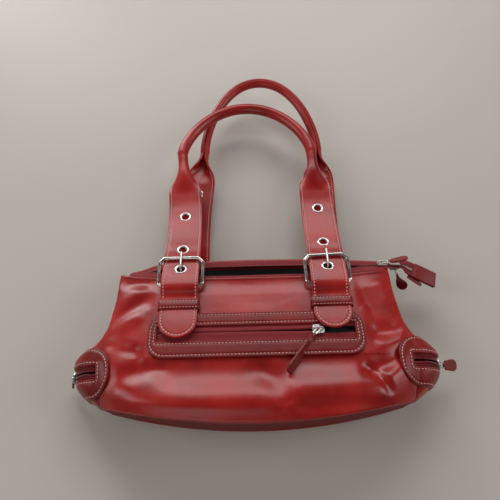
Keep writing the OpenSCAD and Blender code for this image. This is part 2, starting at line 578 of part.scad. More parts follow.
// ---- buckles, keepers and strap ends --------------------------------------------------
// A strip of the given thickness along a path in the Y-Z plane, as a polygon
function side_normal(p, i) =
    let (a = p[max(0, i - 1)], b = p[min(len(p) - 1, i + 1)], d = (b - a) / norm(b - a)) [-d[1], d[0]];
function strip(p, t) = concat(
    [for (i = [0:len(p) - 1]) p[i] + side_normal(p, i) * t / 2],
    [for (i = [len(p) - 1:-1:0]) p[i] - side_normal(p, i) * t / 2]
);
module across(w) rotate([90, 0, 90]) translate([0, 0, -w / 2]) linear_extrude(w) children();

module chape() color(trim_leather) difference() {
    union() {
        translate([-chape_w / 2, -chape_l, seat]) cube([chape_w, chape_l, 1.4]);
        translate([0, 0, heel_z]) rotate([0, 90, 0]) cylinder(h = chape_w, r = loop_o, center = true);
    }
    translate([0, 0, heel_z]) rotate([0, 90, 0]) cylinder(h = chape_w + 1, r = loop_i, center = true);
    translate([-3.3, -7, -1]) cube([6.6, 20, 20]);
}
module keeper() color(trim_leather) translate([0, keeper_y - keeper_w / 2, 0]) difference() {
    translate([-keeper_half - 1.3, 0, seat]) cube([2 * keeper_half + 2.6, keeper_w, keeper_top + 1.3 - seat]);
    translate([-keeper_half, -1, -1]) cube([2 * keeper_half, keeper_w + 2, keeper_top + 1]);
}
module buckle(yaw) color(steel) translate([0, 0, heel_z]) rotate([buckle_tilt, 0, yaw]) {
    w = buckle_w / 2;
    c = buckle_corner;
    ring = [[c - w, 0], [w - c, 0], [w, c], [w, buckle_l - c], [w - c, buckle_l], [c - w, buckle_l], [-w, buckle_l - c], [-w, c]];
    wire(ring, buckle_wire / 2, 2.4, true);
}
module prong() color(steel) difference() {
    union() {
        translate([0, 0, heel_z]) rotate([0, 90, 0]) cylinder(h = 4.4, r = buckle_wire / 2 + 1.3, center = true);
        rotate([90, 0, 90])
            wire([[2.4, heel_z], [eyelet_y - 3.4, heel_z], [eyelet_y + 1.7, prong_z], [bar_y + 5, prong_z]], prong_d / 2, 2);
        translate([0, bar_y + 4.9, prong_z]) rotate([-90, 0, 0]) cylinder(h = 1.6, r1 = prong_d / 2 - 0.02, r2 = prong_d / 4);
    }
    translate([0, 0, heel_z]) rotate([0, 90, 0]) cylinder(h = 6, r = buckle_wire / 2 + 0.08, center = true);
}
strap_hole = eyelet_hole / 2 + 0.6;
module strap_end(tip) color(leather) difference() {
    intersection() {
        across(strap_w) polygon(strip([
            [-tip, tip_z], [-10.8, tip_z], [-8, tip_z + 1.3], [-4.2, over_z - 1.2], [0, over_z], [5, over_z - 0.1], [11, over_z - 0.55],
            [27.6, under_z + 0.7], [bar_y, under_z], [hinge_y, hinge_z - strap_t / 2]
        ], strap_t));
        union() {
            translate([-strap_w / 2, -tip + strap_w / 2, -5]) cube([strap_w, tip + hinge_y, 30]);
            translate([0, -tip + strap_w / 2, -5]) cylinder(h = 30, r = strap_w / 2, $fn = 64);
        }
    }
    at_strap_eyelet() cylinder(h = 12, r = strap_hole, center = true);
}
module at_strap_eyelet() translate([0, eyelet_y, eyelet_z]) rotate([-eyelet_tilt, 0, 0]) children();
// A pressed ring: a flange on each face and the barrel between them
module eyelet(gap) color(steel) rotate_extrude() {
    h = strap_t / 2 + gap;
    polygon([
        [eyelet_hole / 2, -h - 0.3], [eyelet_hole / 2 + 0.5, -h - 0.6], [eyelet_d / 2 - 0.6, -h - 0.5], [eyelet_d / 2, -h],
        [strap_hole - 0.08, -h], [strap_hole - 0.08, h],
        [eyelet_d / 2, h], [eyelet_d / 2 - 0.6, h + 0.5], [eyelet_hole / 2 + 0.5, h + 0.6], [eyelet_hole / 2, h + 0.3]
    ]);
}
module front_chapes() for (s = [-1, 1]) at_front_station(s) chape();
module back_chapes() for (s = [-1, 1]) at_back_station(s) chape();
module front_keepers() for (s = [-1, 1]) at_front_station(s) keeper();
module back_keepers() for (s = [-1, 1]) at_back_station(s) keeper();
module front_left_buckle() at_front_station(-1) buckle(0);
module front_right_buckle() at_front_station(1) buckle(buckle_yaw);
module back_left_buckle() at_back_station(-1) buckle(0);
module back_right_buckle() at_back_station(1) buckle(0);
module front_left_prong() at_front_station(-1) prong();
module front_right_prong() at_front_station(1) prong();
module back_left_prong() at_back_station(-1) prong();
module back_right_prong() at_back_station(1) prong();
module front_left_strap_end() at_front_station(-1) strap_end(tip_l);
module front_right_strap_end() at_front_station(1) strap_end(tip_l - 7);
module back_left_strap_end() at_back_station(-1) strap_end(tip_l - 2);
module back_right_strap_end() at_back_station(1) strap_end(tip_l - 2);
module front_strap_eyelets() for (s = [-1, 1]) at_front_station(s) at_strap_eyelet() eyelet(0.05);
module back_strap_eyelets() for (s = [-1, 1]) at_back_station(s) at_strap_eyelet() eyelet(0.05);

// ---- handles --------------------------------------------------------------------------
// A handle is [start y, seam y, arch, half width at the seam, side shift at the seam, half width and
// side shift at the start, heights along the way, eyelets from the start]
front_handle_form = [front_start_y + seat, front_seam_y, front_arch, front_half, -2, strap_x, 0, [
    [front_start_y, front_start_z], [front_start_y + 22, front_start_z - 7.8], [front_start_y + 49, 35.5], [front_start_y + 71, 33],
    [front_seam_y - 38, 34], [front_seam_y, 36], [front_seam_y + 40, 35.6], [front_seam_y + front_arch, 35]
], [9.5, 9.5 + eyelet_pitch]];
back_handle_form = [back_start_y + 2 * seat, back_seam_y, back_arch, back_half, back_shift + 7, strap_x, back_shift, [
    [back_start_y, back_start_z], [back_start_y + 12, back_start_z - 0.4], [back_start_y + 33, back_start_z - 0.4],
    [back_start_y + 61, back_start_z + 0.4], [back_start_y + 83, back_start_z + 1.2], [back_seam_y - 26, 15.5],
    [back_seam_y, 18.4], [back_seam_y + 25, 20.6], [back_seam_y + 45, 23], [back_seam_y + back_arch, 34]
], [22, 22 + eyelet_pitch]];
strap_steps = 10;
arch_steps = 24;
ring_sides = 16;
roll_end = 22;
roll_lap = 4.4;
// Middle line of a handle: k counts from the left start over the arch to the right start
function handle_pt(h, k) =
    let (
        last = 2 * strap_steps + arch_steps,
        s = k <= strap_steps ? -1 : k >= strap_steps + arch_steps ? 1 : 0,
        u = k <= strap_steps ? k / strap_steps : (last - k) / strap_steps,
        q = 180 * (1 - (k - strap_steps) / arch_steps),
        y = s == 0 ? h[1] + h[2] * sin(q) : h[0] + u * (h[1] - h[0]),
        x = s == 0 ? h[4] + h[3] * cos(q) : (h[6] + (h[4] - h[6]) * u * u) + s * (h[5] + (h[3] - h[5]) * u * u)
    ) [x, y, lookup(y, h[7])];
// How far a place has rolled from strap to grip, 0 to 1: the strap is flat as far as its last eyelet
function roll_y(h) = max(h[1] - roll_end - shoulder_l, h[0] + h[8][1] + eyelet_d / 2 - roll_lap);
function rolled(h, p) = ease((p[1] - roll_y(h)) / shoulder_l);
module handle_sweep(h, k0, k1, half_wide, half_thick, power) {
    n = k1 - k0 + 1;
    m = ring_sides;
    function signed(v, e) = sign(v) * pow(abs(v), e);
    function ring(k) =
        let (
            p = handle_pt(h, k),
            a = handle_pt(h, max(0, k - 1)), b = handle_pt(h, min(2 * strap_steps + arch_steps, k + 1)),
            t = (b - a) / norm(b - a),
            up = [0, 0, 1] - t * t[2], nz = up / norm(up), w = cross(t, nz),
            r = rolled(h, p), hw = half_wide(r), ht = half_thick(r), e = 2 / power(r)
        )
        [for (j = [0:m - 1]) let (q = 360 * j / m) p + w * hw * signed(cos(q), e) + nz * ht * signed(sin(q), e)];
    pts = [for (k = [k0:k1]) each ring(k)];
    polyhedron(
        points = pts,
        faces = concat(
            [for (i = [0:n - 2]) for (j = [0:m - 1]) let (j1 = (j + 1) % m) each [[i * m + j, (i + 1) * m + j, (i + 1) * m + j1], [i * m + j, (i + 1) * m + j1, i * m + j1]]],
            [[for (j = [0:m - 1]) j], [for (j = [m - 1:-1:0]) (n - 1) * m + j]]
        )
    );
}
module handle(h) color(leather) difference() {
    handle_sweep(h, 0, 2 * strap_steps + arch_steps,
        function(r) strap_w / 2 + (grip_d / 2 - strap_w / 2) * r, function(r) strap_t / 2 + (grip_d / 2 - strap_t / 2) * r, function(r) 10 - 8 * r);
    handle_eyelet_places(h) cylinder(h = 16, r = strap_hole, center = true);
}
module handle_eyelet_places(h) {
    for (s = [-1, 1])
        for (d = h[8]) {
            y = h[0] + d;
            u = d / (h[1] - h[0]);
            x = (h[6] + (h[4] - h[6]) * u * u) + s * (h[5] + (h[3] - h[5]) * u * u);
            translate([x, y, lookup(y, h[7])]) rotate([atan2(lookup(y + 7, h[7]) - lookup(y - 7, h[7]), 14), 0, 0]) children();
        }
}
module front_handle() handle(front_handle_form);
module back_handle() handle(back_handle_form);
module front_handle_eyelets() handle_eyelet_places(front_handle_form) eyelet(0.35);
module back_handle_eyelets() handle_eyelet_places(back_handle_form) eyelet(0.35);

front_panel();
back_panel();
base_panel();
left_gusset();
right_gusset();
lining();
pocket_pouch();
pocket_frame();
pocket_tapes();
pocket_teeth();
pocket_slider();
pocket_link();
pocket_pull();
mouth_tape_front();
mouth_tape_back();
mouth_teeth_front();
mouth_teeth_back();
mouth_end_tab();
mouth_slider_a();
mouth_link_a();
mouth_pull_a();
mouth_slider_b();
mouth_link_b();
mouth_pull_b();
left_end_frame();
right_end_frame();
left_end_tapes();
right_end_tapes();
left_end_teeth();
right_end_teeth();
left_end_slider();
right_end_slider();
left_end_link();
right_end_link();
left_end_pull();
right_end_pull();
front_chapes();
back_chapes();
front_keepers();
back_keepers();
front_left_buckle();
front_right_buckle();
back_left_buckle();
back_right_buckle();
front_left_prong();
front_right_prong();
back_left_prong();
back_right_prong();
front_left_strap_end();
front_right_strap_end();
back_left_strap_end();
back_right_strap_end();
front_strap_eyelets();
back_strap_eyelets();
front_handle();
back_handle();
front_handle_eyelets();
back_handle_eyelets();
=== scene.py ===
"""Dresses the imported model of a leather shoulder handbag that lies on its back.

Every size is in millimetres until a mesh is made. +X is the bag's right as seen from its front,
+Y runs from the base to the handles and +Z points out of the front.
"""
import math

import bmesh
import bpy
import numpy as np
from mathutils import Matrix


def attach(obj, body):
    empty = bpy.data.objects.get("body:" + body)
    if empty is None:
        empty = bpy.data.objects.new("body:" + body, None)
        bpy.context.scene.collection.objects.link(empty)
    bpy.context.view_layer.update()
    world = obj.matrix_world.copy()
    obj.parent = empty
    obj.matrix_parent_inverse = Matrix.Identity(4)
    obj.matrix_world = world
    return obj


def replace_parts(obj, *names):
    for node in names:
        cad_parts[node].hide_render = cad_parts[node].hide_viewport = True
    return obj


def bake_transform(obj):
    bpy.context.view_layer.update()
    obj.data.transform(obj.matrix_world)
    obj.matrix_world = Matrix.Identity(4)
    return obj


bl_info = {
    "name": "Leather Handbag Dressing",
    "version": (1, 0, 0),
    "blender": (4, 5, 0),
    "location": "3D View > Sidebar > Handbag",
    "description": "Leather, stitching, zips, straps and stage of a shoulder handbag",
    "category": "Add Mesh",
}

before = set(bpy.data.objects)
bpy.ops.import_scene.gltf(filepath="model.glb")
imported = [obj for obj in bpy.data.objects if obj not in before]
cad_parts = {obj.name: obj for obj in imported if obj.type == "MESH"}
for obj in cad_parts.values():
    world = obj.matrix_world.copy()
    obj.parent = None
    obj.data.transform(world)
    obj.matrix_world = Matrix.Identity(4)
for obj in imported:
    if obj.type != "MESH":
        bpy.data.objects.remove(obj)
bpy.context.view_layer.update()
MM = 0.001


# ---- outline of the body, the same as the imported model's ---------------------------------
# half widths between the top corners and at the end pockets
TOP_HALF, BELLY_HALF = 143.5, 151.5
# the base seam, how far its corners are drawn up, and the level where the front's crown starts
BASE_Y, BASE_RISE, FLAT_Y = 36.0, 19.0, 24.0
# the front's top edge, the rise of its corners, its height, and the front's slope in degrees
TOP_Y, TOP_RISE, TOP_Z, SLOPE = 112.0, 10.0, 52.0, 10.0
# the front's crown, its drop towards the base, and the fall of its sides at the top and at the base
CROWN, DROP, FALL_TOP, FALL_BASE = 7.0, 11.0, 8.0, 40.0
# the back's top edge, the drop of its corners, the hollow over its buckles and its shift to the right
BACK_Y, BACK_DROP, HOLLOW, BACK_SHIFT = 146.0, 11.0, 15.6, 6.0
# half the width of the sag between the back's two buckles
SAG_HALF = 49.0
# y + z on the mouth's plane, thickness of the panels and gap in their seams
MOUTH_SUM, PANEL, SEAM = 164.0, 2.0, 0.3
# how far the base bows out between its seams
BASE_BOW = 4.0
# the front pocket's frame and its slot
POCKET_Y, POCKET_L, POCKET_H, POCKET_R = 47.5, 209.0, 44.0, 13.0
SLOT_L, SLOT_H, SLOT_UP = 191.0, 12.5, 1.5
# how far the slot's lower lip hangs away from its zip, and how far the frame's middle has sunk with it
LIP_SAG, BAND_DROP = 3.2, 1.5
# the end pockets' level, height, reach past the wrap and slot
END_Y, END_H, END_REACH, END_SLOT = 22.0, 50.0, 19.0, 12.5
# how far the leather of each end pocket has slumped towards the base
END_DROP = {-1: 7.5, 1: 3.0}
# the straps' place across the bag, their width and thickness, and the level of the buckles' loops
STRAP_X, STRAP_W, STRAP_T, HEEL_Y, BACK_HEEL_Y = 76.0, 38.0, 3.0, 97.0, 119.0
# about how long the front, the back and the base are from edge to edge
FRONT_LONG, BACK_LONG, BASE_LONG = 150.0, 180.0, 66.0


def table(y, pairs):
    """Straight-line look-up of y in (place, value) pairs."""
    p = np.array(pairs, float)
    return np.interp(y, p[:, 0], p[:, 1])


def ease(u):
    """Smooth step: 3 v^2 - 2 v^3 of v, the number u held between 0 and 1."""
    v = np.clip(u, 0, 1)
    return v * v * (3 - 2 * v)


def soft(y, pairs, blur=5.0):
    """The look-up of table(), averaged over seven places within +-blur, which rounds its corners."""
    return sum(table(y + blur * k / 3, pairs) for k in range(-3, 4)) / 7


def grid(a, b):
    """Two rows of parameters as a full grid, with a down the first axis and b along the second."""
    return np.meshgrid(a, b, indexing="ij")


def closer(n, share):
    """n places from -1 to 1 that draw closer at both ends: a share of a sine, and the rest even."""
    return share * np.sin(np.linspace(-np.pi / 2, np.pi / 2, n)) + (1 - share) * np.linspace(-1, 1, n)


HALF_W = [
    (-BASE_Y + BASE_RISE, BELLY_HALF - 4), (END_Y - 20, BELLY_HALF - 0.8), (END_Y, BELLY_HALF),
    (END_Y + 26, BELLY_HALF - 2.5), (TOP_Y - 50, TOP_HALF + 3), (TOP_Y - 20, TOP_HALF),
    (TOP_Y + TOP_RISE, TOP_HALF),
]


def half_w(y):
    """Half the bag's width at a level: widest at the end pockets, with its corners rounded over 3 mm."""
    return soft(y, HALF_W, 3.0)


def below(y):
    """How far a level lies below the front's flat part: 0 there and 1 at the base."""
    return np.maximum(0, FLAT_Y - y) / (FLAT_Y + BASE_Y)


def crown(q):
    """The model's even crown on the lower front: a sine of 130 degrees less a square drop."""
    return CROWN * np.sin(np.radians(130 * q)) - DROP * q * q


def front_mid(y):
    """Height of the front along its middle: a straight slope plus the crown below the pocket."""
    return TOP_Z + math.tan(math.radians(SLOPE)) * (TOP_Y - y) + crown(below(y))


def front_z(x, y):
    """The middle height less the fall at the sides, which grows as a high power of the distance
    across."""
    q = below(y)
    fall = FALL_TOP + (FALL_BASE - FALL_TOP) * q
    return front_mid(y) - fall * np.minimum(1, np.abs(x) / half_w(y)) ** (7 - 3 * q)


def back_z(x, y):
    """Flat on the ground near the base and hollow over the back's buckles, with a sag between them that
    is the square of a parabola, and sides raised as the fifth power of the distance across."""
    u = np.minimum(1, np.abs(x - BACK_SHIFT) / SAG_HALF)
    sag = (1 - u * u) ** 2
    mid = soft(y, [(28, 0), (53, HOLLOW * 0.62), (63, HOLLOW), (200, HOLLOW)], 3.0)
    mid = mid * (1 - sag * (1 - table(y, [(100, 0), (BACK_Y - 6, 1)])))
    end = MOUTH_SUM - BACK_Y
    lip = table(y, [(BACK_Y - 16, 0), (BACK_Y, end - PANEL / 2 - HOLLOW)])
    side = table(y, [(-BASE_Y, 6), (60, 4), (100, 2), (BACK_Y - BACK_DROP, end + BACK_DROP - HOLLOW - 1.2)])
    return mid + lip + np.minimum(1, np.abs(x) / half_w(y)) ** 5 * side


def base_edge(a):
    """Level of the base seam: its corners rise as the square of the way across."""
    return -BASE_Y + BASE_RISE * a * a


def front_edge(a):
    """Level of the front's top edge: its corners rise as the fourth power of the way across."""
    return TOP_Y + TOP_RISE * a ** 4


def back_edge(a):
    """Level of the back's top edge: its corners drop as the square of the way across."""
    return BACK_Y - BACK_DROP * a * a


def front_point(a, b):
    """A place on the front: a runs across from -1 to 1 and b up from 0 to 1. The last part eases to the
    mouth's plane."""
    y = base_edge(a) + b * (front_edge(a) - base_edge(a))
    x = a * half_w(y)
    w = ease((b - 0.85) / 0.15)
    return np.stack([x, y, (1 - w) * front_z(x, y) + w * (MOUTH_SUM - front_edge(a))], -1)


def back_point(a, b):
    """A place on the back, with a and b as on the front."""
    y = base_edge(a) + b * (back_edge(a) - base_edge(a))
    x = a * half_w(y)
    w = ease((b - 0.8) / 0.2)
    return np.stack([x, y, (1 - w) * back_z(x, y) + w * (MOUTH_SUM - back_edge(a) - PANEL / 2)], -1)


def base_point(a, c, d=0.0):
    """A place on the base: a across, c from the back seam to the front seam, d into the bag. It bows
    out as half a sine."""
    y = base_edge(a)
    x = a * half_w(y)
    lo, hi = back_z(x, y) + PANEL + SEAM, front_z(x, y) - PANEL - SEAM
    bow = BASE_BOW * np.sin(np.pi * c) * (1 - a * a)
    return np.stack([x, y + d - bow, lo + c * (hi - lo)], -1)


def end_mid(y):
    """Height of an end's ridge: halfway between the sides of the front and the back."""
    return (front_z(half_w(y), y) + back_z(half_w(y), y)) / 2


def end_half(y):
    """Half the thickness of the bag at its ends."""
    return (front_z(half_w(y), y) - back_z(half_w(y), y)) / 2


END_R = float(end_half(END_Y))
END_M = float(end_mid(END_Y))
WRAP = END_R * math.pi / 2  # from the ridge of an end round to the front, along the leather
BULGE = [
    (-BASE_Y + BASE_RISE, 1.5), (END_Y - 33, END_R * 0.42), (END_Y - 25, END_R * 0.7),
    (END_Y - 15, END_R * 0.92), (END_Y - 7, END_R), (END_Y + 8, END_R), (END_Y + 18, END_R * 0.66),
    (END_Y + 26, END_R * 0.32), (END_Y + 40, 3), (TOP_Y + TOP_RISE, 0.5),
]


def bulge(y):
    """How far an end stands out past the sides of the front: a half round at the pocket, thin at the
    top."""
    return soft(y, BULGE, 4.0)


def end_point(c, b, d=0.0):
    """A place on an end: c round from the back seam to the front seam, b up, d into the bag. Each row
    is half an ellipse."""
    y0 = -BASE_Y + BASE_RISE + PANEL + SEAM
    low = BACK_Y - BACK_DROP
    y1 = low - 7 + c * (TOP_Y + TOP_RISE - low)
    y = y0 + b * (y1 - y0)
    q = np.pi * (c - 0.5)
    r = end_half(y) - PANEL - SEAM
    return np.stack([half_w(y) + (bulge(y) - d) * np.cos(q), y, end_mid(y) + (r - d) * np.sin(q)], -1)


def wrap_point(l, y, o):
    """A place on the leather that wraps an end: l along the wrap from its ridge, o outwards. It is a
    quarter ellipse on each side of the ridge and goes on over the front and the back."""
    q = np.radians(90 * np.clip(l / WRAP, -1, 1))
    over = np.maximum(0, np.abs(l) - WRAP)
    x = half_w(y) + (bulge(y) + o) * np.cos(q) * (over <= 0) - over
    z = end_mid(y) + (end_half(y) + o) * np.sin(q)
    inside = np.minimum(x, half_w(y))
    flat = np.where(l > 0, front_z(inside, y) + o, back_z(inside, y) - o)
    return np.stack([x, y + 0 * l, np.where(over > 0, flat, z)], -1)


# ---- places ------------------------------------------------------------------------------
def move(x, y, z):
    """A place moved by x, y and z."""
    m = np.eye(4)
    m[:3, 3] = x, y, z
    return m


def turn(axis, degrees):
    """Rotation by the right-hand rule about x, y or z."""
    i, j = {"x": (1, 2), "y": (2, 0), "z": (0, 1)}[axis]
    m = np.eye(4)
    m[i, i] = m[j, j] = math.cos(math.radians(degrees))
    m[j, i] = math.sin(math.radians(degrees))
    m[i, j] = -m[j, i]
    return m


def mirror(x, y, z):
    """A place whose axes are kept or turned round by 1 or -1."""
    return np.diag([float(x), y, z, 1])


def put(m, p):
    """Points p taken to the place m."""
    return np.asarray(p, float) @ m[:3, :3].T + m[:3, 3]


def lifted(p, dz):
    """A copy of the points p, moved up by dz."""
    p = p.copy()
    p[..., 2] += dz
    return p


def upright(yz):
    """Pairs (y, z) as points of the plane x = 0."""
    yz = np.asarray(yz, float)
    return np.stack([0 * yz[:, 0], yz[:, 0], yz[:, 1]], -1)


# how far the mouth's zip stands up its plane from the plane's middle, and the loose tail past the corner
ZIP_S = (TOP_Y + TOP_RISE + BACK_Y - 14 - MOUTH_SUM) / math.sqrt(2)
TAIL_X, TAIL_L = 160.5, 16.0
AT_POCKET = move(0, POCKET_Y, float(front_mid(POCKET_Y))) @ turn("x", -SLOPE)
AT_MOUTH = move(0, MOUTH_SUM / 2, MOUTH_SUM / 2) @ turn("x", -45)
AT_TAIL = AT_MOUTH @ move(TAIL_X, ZIP_S, 0) @ turn("x", 42) @ turn("z", -22) @ turn("y", 15)


def at_end(side):
    """The middle of an end pocket, on the bag's side."""
    return mirror(side, 1, 1) @ move(float(half_w(END_Y)), END_Y, END_M)


def at_station(word, side):
    """Where a chape's loop stands on the front or on the back."""
    if word == "front":
        return move(side * STRAP_X, HEEL_Y, float(front_mid(HEEL_Y))) @ turn("x", -SLOPE)
    return move(BACK_SHIFT + side * STRAP_X, BACK_HEEL_Y, HOLLOW) @ mirror(1, 1, -1)


# ---- meshes ------------------------------------------------------------------------------
def collection_link(obj):
    """Puts an object in the scene and gives it back."""
    bpy.context.scene.collection.objects.link(obj)
    return obj


def make(name, verts, faces, mat, body="bag", smooth=True):
    """Puts vertices in millimetres and faces into a new mesh object that rides on a body."""
    me = bpy.data.meshes.new(name)
    places = np.asarray(verts, float).reshape(-1, 3) * MM
    me.from_pydata(places.tolist(), [], [list(map(int, f)) for f in faces])
    bm = bmesh.new()
    bm.from_mesh(me)
    bmesh.ops.remove_doubles(bm, verts=bm.verts, dist=1e-6)
    bmesh.ops.recalc_face_normals(bm, faces=bm.faces)
    bm.to_mesh(me)
    bm.free()
    me.polygons.foreach_set("use_smooth", [smooth] * len(me.polygons))
    me.materials.append(mat)
    obj = collection_link(bpy.data.objects.new(name, me))
    if body:
        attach(obj, body)
    return obj


def quads(nu, nv):
    """Faces of a grid of nu by nv vertices stored row by row."""
    i, j = grid(np.arange(nu - 1), np.arange(nv - 1))
    corner = i * nv + j
    return np.stack([corner, corner + nv, corner + nv + 1, corner + 1], -1).reshape(-1, 4)


def shell(outer, inner, hole=None):
    """A closed sheet between two grids of points of the same size: both faces and the four edges. Faces
    whose outer corners all lie in hole(points) are left out."""
    nu, nv = outer.shape[:2]
    n = nu * nv
    v = np.concatenate([outer.reshape(-1, 3), inner.reshape(-1, 3)])
    top = quads(nu, nv)
    if hole is not None:
        top = top[~hole(v[:n])[top].all(1)]
    first_row, last_row = np.arange(nv), (nu - 1) * nv + np.arange(nv - 2, -1, -1)
    last_column, first_column = nv * np.arange(1, nu) + nv - 1, nv * np.arange(nu - 2, 0, -1)
    ring = np.concatenate([first_row, last_column, last_row, first_column])
    nxt = np.roll(ring, -1)
    edge = np.stack([ring, nxt, nxt + n, ring + n], -1)
    return v, np.concatenate([top, top[:, ::-1] + n, edge])


def tube(rings, closed=False):
    """A closed skin over rings of points (n, m, 3), with each end closed by a fan, or joined to the
    first ring."""
    n, m = rings.shape[:2]
    i, j = grid(np.arange(n if closed else n - 1), np.arange(m))
    i2, j2 = (i + 1) % n, (j + 1) % m
    f = np.stack([i * m + j, i * m + j2, i2 * m + j2, i2 * m + j], -1).reshape(-1, 4).tolist()
    v = rings.reshape(-1, 3)
    if not closed:
        v = np.concatenate([v, rings[[0, -1]].mean(1)])
        k = np.arange(m)
        k2, last = (k + 1) % m, (n - 1) * m
        f += np.stack([np.full(m, n * m), k2, k], -1).tolist()
        f += np.stack([np.full(m, n * m + 1), last + k, last + k2], -1).tolist()
    return v, f


def join(parts):
    """One list of vertices and faces out of several."""
    verts, faces, n = [], [], 0
    for v, f in parts:
        verts.append(np.asarray(v, float).reshape(-1, 3))
        faces += [[int(q) + n for q in face] for face in f]
        n += len(verts[-1])
    return np.concatenate(verts), faces


def placed(m, solid):
    """The vertices and faces of a solid, with the vertices taken to the place m."""
    v, f = solid
    return put(m, v), f


def unit(v):
    """Vectors brought to the length 1."""
    return v / np.maximum(np.linalg.norm(v, axis=-1, keepdims=True), 1e-9)


def frames(path, up=(0, 0, 1), closed=False):
    """Tangent, side and up directions along a path of points, with up kept as near as it can be to the
    given one."""
    t = unit(np.roll(path, -1, 0) - np.roll(path, 1, 0) if closed else np.gradient(path, axis=0))
    up = np.broadcast_to(np.asarray(up, float), path.shape)
    n = unit(up - t * (t * up).sum(-1, keepdims=True))
    return t, np.cross(t, n), n


def sweep(path, profile, up=(0, 0, 1), closed=False):
    """A profile (m, 2) or (n, m, 2) of side and up offsets carried along a path."""
    _, s, n = frames(path, up, closed)
    p = np.broadcast_to(profile, (len(path),) + np.shape(profile)[-2:])
    return path[:, None] + s[:, None] * p[..., :1] + n[:, None] * p[..., 1:]


def corners(hx, hy, r, k):
    """The four corners of a rounded rectangle of half sizes hx and hy: quarter circles of k + 1 points
    each."""
    q = np.radians(np.linspace(0, 90, k + 1))
    out = []
    for c, (sx, sy) in enumerate(((1, 1), (-1, 1), (-1, -1), (1, -1))):
        a = q + c * np.pi / 2
        out.append(np.stack([sx * (hx - r) + r * np.cos(a), sy * (hy - r) + r * np.sin(a)], -1))
    return out


def rounded(w, h, r):
    """Profile of a w by h bar with corner radius r."""
    return np.concatenate(corners(w / 2, h / 2, r, 4))


def resample(path, step, closed=False):
    """Points at about equal steps along a path, with their number rounded so that the last step fits."""
    p = np.concatenate([path, path[:1]]) if closed else path
    d = np.concatenate([[0], np.cumsum(np.linalg.norm(np.diff(p, axis=0), axis=1))])
    n = max(2, int(round(d[-1] / step)))
    s = np.linspace(0, d[-1], n + 1)
    if closed:
        s = s[:-1]
    return np.stack([np.interp(s, d, p[:, k]) for k in range(3)], -1)


def curve(points, n):
    """A Catmull-Rom curve of n points through the given ones."""
    p = np.asarray(points, float)
    p = np.concatenate([2 * p[:1] - p[1:2], p, 2 * p[-1:] - p[-2:-1]])
    u = np.linspace(0, len(p) - 3 - 1e-9, n)
    i = u.astype(int)
    f = (u - i)[:, None]
    a, b, c, d = p[i], p[i + 1], p[i + 2], p[i + 3]
    square, cube = 2 * a - 5 * b + 4 * c - d, 3 * b - a - 3 * c + d
    return 0.5 * (2 * b + (c - a) * f + square * f * f + cube * f ** 3)


# ---- stitches and teeth --------------------------------------------------------------------
# a small bar's five rings, as shares of its half length and of its radius, and the points on each
GRAIN_RINGS = np.array([(-1.0, 0.35), (-0.78, 0.85), (0.0, 1.0), (0.78, 0.85), (1.0, 0.35)])
GRAIN_SIDES = 6
# half a stitch as a share of its step, its radius on trims and on the straps, and its lean to the side
STITCH_HALF, STITCH_R, STRAP_STITCH_R, LEAN = 0.31, 0.47, 0.56, 0.12


def grains(centres, along, up, half_l, r, flat=1.0):
    """Small rounded bars, as stitches or zip teeth: five rings of six points each, pinched at both
    ends."""
    k = GRAIN_SIDES
    t = unit(along)
    n = unit(up - t * (up * t).sum(-1, keepdims=True))
    c, t, s, n = (v[:, None, None] for v in (centres, t, np.cross(t, n), n))
    place, size = (GRAIN_RINGS[None, :, None, None, i] * by for i, by in ((0, half_l), (1, r)))
    q = np.radians(np.arange(k) * 360.0 / k)[None, None, :, None]
    v = c + t * place + (s * np.cos(q) + n * flat * np.sin(q)) * size
    one = [[i * k + j, i * k + (j + 1) % k, (i + 1) * k + (j + 1) % k, (i + 1) * k + j]
           for i in range(len(GRAIN_RINGS) - 1) for j in range(k)]
    # each end is closed by two faces
    one += [[0, 5, 4, 3], [0, 3, 2, 1], [24, 25, 26, 27], [24, 27, 28, 29]]
    each = k * len(GRAIN_RINGS)
    return v.reshape(-1, 3), [[q + each * i for q in f] for i in range(len(centres)) for f in one]


def stitch_row(path, up, step, lift):
    """A row of stitches between even places of a path: each is a short bar that leans a little."""
    p = resample(path, step)
    t, s, n = (v[1:] for v in frames(p, up))
    return grains((p[1:] + p[:-1]) / 2 + n * lift, t + 0.1 * s, n, step * STITCH_HALF, STITCH_R)


def stitches_on(path, up, step, r, lift=0.0, closed=False):
    """Stitches at even places of a path of points, each with the up direction of the nearest point."""
    even = resample(path, step, closed)
    up = up[np.argmin(((even[:, None] - path[None]) ** 2).sum(-1), 1)]
    t = unit(np.roll(even, -1, 0) - np.roll(even, 1, 0) if closed else np.gradient(even, axis=0))
    return grains(even + up * lift, t + LEAN * np.cross(t, up), up, step * STITCH_HALF, r)


# ---- materials ---------------------------------------------------------------------------
def linear(hex_colour):
    """sRGB hex to linear red, green, blue and alpha."""
    c = [int(hex_colour.lstrip("#")[i:i + 2], 16) / 255 for i in (0, 2, 4)]
    return tuple(v / 12.92 if v <= 0.04045 else ((v + 0.055) / 1.055) ** 2.4 for v in c) + (1.0,)


def add(tree, kind, inputs=None, stops=(), **settings):
    """Adds a node with its settings; an input's value is a socket to link or a constant to set, and
    stops are the (position, sRGB hex) pairs of a colour ramp."""
    node = tree.nodes.new("ShaderNode" + kind)
    for key, value in settings.items():
        setattr(node, key, value)
    for key, value in (inputs or {}).items():
        if isinstance(value, bpy.types.NodeSocket):
            tree.links.new(value, node.inputs[key])
        else:
            node.inputs[key].default_value = value
    if stops:
        elements = node.color_ramp.elements
        while len(elements) < len(stops):
            elements.new(0.5)
        for e, (at, colour) in zip(elements, stops):
            e.position, e.color = at, linear(colour)
    return node


